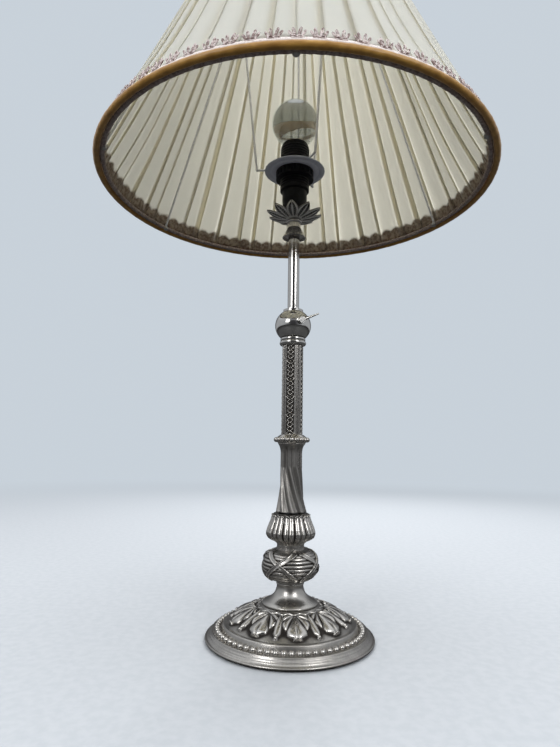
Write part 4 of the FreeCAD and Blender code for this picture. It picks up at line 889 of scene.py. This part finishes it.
# ---- rosette ----
# Ten pointed cast leaves that open out from a small hub under the lampholder. Each has a raised
# border and a middle vein, above and below.
LEAVES = 10
LEAF_FROM, LEAF_LONG = 6.3, 19.9
LEAF_BASE, LEAF_RISE = 371.4, 6.6
LEAF_THICK = 0.8
across = np.linspace(-1, 1, 25)[None, :]
along = np.linspace(0, 1, 34)[:, None]
half = 1.3 + 4.5 * np.sin(math.pi * np.clip(along, 0, 1) ** 0.9 * 0.62) ** 1.2
half = half * np.clip((1.01 - along) / 0.42, 0, 1) ** 0.6 + 0.1
out = LEAF_FROM + LEAF_LONG * along - 0.6 * across ** 2
rise = LEAF_BASE + LEAF_RISE * along ** 0.9 - 1.5 * np.sin(math.pi * along) + across ** 2 * (1 - along)
relief = 1.0 * np.exp(-((np.abs(across) - 0.84) / 0.13) ** 2) + 0.8 * np.exp(-(across / 0.12) ** 2)
ribs = 0.3 * np.cos(along * 26 - np.abs(across) * 4) ** 2
relief = relief + ribs * (np.abs(across) < 0.7) * (along < 0.8)
side = half * across
under = np.stack([side, -out + 0 * across, rise - LEAF_THICK - relief * 0.9], axis=-1)
raised = rise + relief * np.sqrt(np.clip(1.04 - along, 0, 1))
above = np.stack([side, -out + 0 * across, raised], axis=-1)
# The leaves are painted dark away from their raised borders and veins, for tarnish and shade, and darker
# still underneath as painted shade.
dark_under, dark_above = np.clip(0.95 - relief * 1.8, 0, 1), np.clip(0.8 - relief * 1.6, 0, 1)
leaf = grid_mesh("rosette_leaf", np.concatenate([under, above[:, ::-1]], axis=1), loop=False,
                 hollow=np.concatenate([dark_under, dark_above[:, ::-1]], axis=1))
# The leaves and hub get a lighter copy of the plated silver, painted brighter to make up for the little
# light that reaches them.
cast_leaf_silver = metal("cast_leaf_silver", (0.86, 0.84, 0.80, 1.0), (0.035, 0.03, 0.028, 1.0), 0.30)
leaf.materials.append(cast_leaf_silver)
leaves = around("rosette_leaves", leaf, LEAVES, first=-6.0)
hub_outline = [(5.0, 370.25), (7.2, 370.25), (8.6, 371.2), (9.0, 372.3), (8.4, 373.5), (7.0, 374.15),
               (5.0, 374.15)]
hub = lathe("rosette_hub", hub_outline, 72, loop=True)
add_piece(leaves, "rod", "aged_silver", cast_leaf_silver, "rosette")
add_piece(hub, "rod", "aged_silver", cast_leaf_silver)


# ---- bulb ----
# Clear globe bulb with a thin, half-clear silver crown. The silver is painted a matt pale grey-cream, a
# painted reflection of the shade's inside. A tan band edges it, with an uneven lower border. The shell
# lies just inside the glass.
clear_glass, start = new_material("clear_bulb_glass")
place = start.node("ShaderNodeTexCoord", out="Object")
facing = start.node("ShaderNodeLayerWeight", {}, {"Blend": 0.35}, "Facing")
smudge = place.noise(60.0).spread(0.35, 0.75)
shine = start.shader("BsdfGlossy", {"Color": (0.9, 0.92, 0.92, 1.0), "Roughness": 0.05})
clear = start.shader("BsdfTransparent", {"Color": (0.93, 0.94, 0.94, 1.0)})
finished(start, start.shader("MixShader", {0: facing * 0.33 + smudge * 0.03 + 0.04, 1: clear, 2: shine}))
silvered, start = new_material("silvered_crown")
place = start.node("ShaderNodeTexCoord", out="Object")
band = start.node("ShaderNodeAttribute", {"attribute_name": "lacquer"}, out="Fac").spread(0.35, 0.65)
cloud = place.noise(70.0, 4.0)
lacquer = cloud.blend((0.72, 0.52, 0.30, 1.0), (0.84, 0.65, 0.42, 1.0))
# The silver is a painted reflection: matt pale grey-cream in place of a mirror that would show the shade's
# inside.
coat = start.shader("BsdfPrincipled", {
    "Base Color": band.blend((0.72, 0.72, 0.68, 1.0), lacquer), "Roughness": cloud * 0.1 + 0.34})
thin = start.shader("BsdfTransparent", {"Color": (0.9, 0.9, 0.88, 1.0)})
finished(start, start.shader("MixShader", {0: 0.84 - band * 0.66, 1: coat, 2: thin}))

BULB_MIDDLE = 468.15
CROWN_OUTSIDE, CROWN_INSIDE = 21.6, 21.35
# height of the tan band's lower and upper edge from the bulb's middle, by direction
TAN_BAND_LOW = ([-180, -95, -79, -75, -74, -60, -10, 30, 60, 95, 140, 180],
               [-3.0, -9.0, -12.0, -12.6, -16.0, -16.6, -16.2, -13.6, -10.6, -8.0, -5.0, -3.0])
TAN_BAND_TOP = ([-180, -100, -74, -30, 0, 30, 66, 95, 180],
               [-1.0, -3.0, -5.2, -8.4, -9.4, -8.0, -3.5, 0.5, -1.0])
directions = np.arange(120) * 3.0
turn = np.radians(directions)[None, :]
low_turn, top_turn = (np.arcsin(np.interp(from_centre(directions, 0.0, 360.0), *edge) / 21.5)
                      for edge in (TAN_BAND_LOW, TAN_BAND_TOP))
# levels below 1 are the tan band and those above it are silver, up to the pole
levels = np.concatenate([np.linspace(0, 1, 12)[:-1], 1 + np.linspace(0, 1, 26) ** 1.3])[:, None]
lift = np.where(levels < 1, low_turn + (top_turn - low_turn) * levels,
                top_turn + (math.radians(89) - top_turn) * np.clip(levels - 1, 0, 1))
shell = []
for reach, order in ((CROWN_OUTSIDE, 1), (CROWN_INSIDE, -1)):
    level = reach * np.cos(lift)
    shell.append(np.stack([level * np.sin(turn), -level * np.cos(turn),
                           BULB_MIDDLE + reach * np.sin(lift)], axis=-1)[::order])
mirror = grid_mesh("silvered_crown", np.concatenate(shell))
tan_banded = np.concatenate([0 * lift + (levels < 1.0), 0 * lift])
attribute = mirror.attributes.new("lacquer", "FLOAT", "POINT")
attribute.data.foreach_set("value", tan_banded.astype(np.float32).ravel())
add_piece(mirror, "rod", "crown_mirror", silvered, "crown_mirror")
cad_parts["bulb_glass"].data.materials[0] = clear_glass
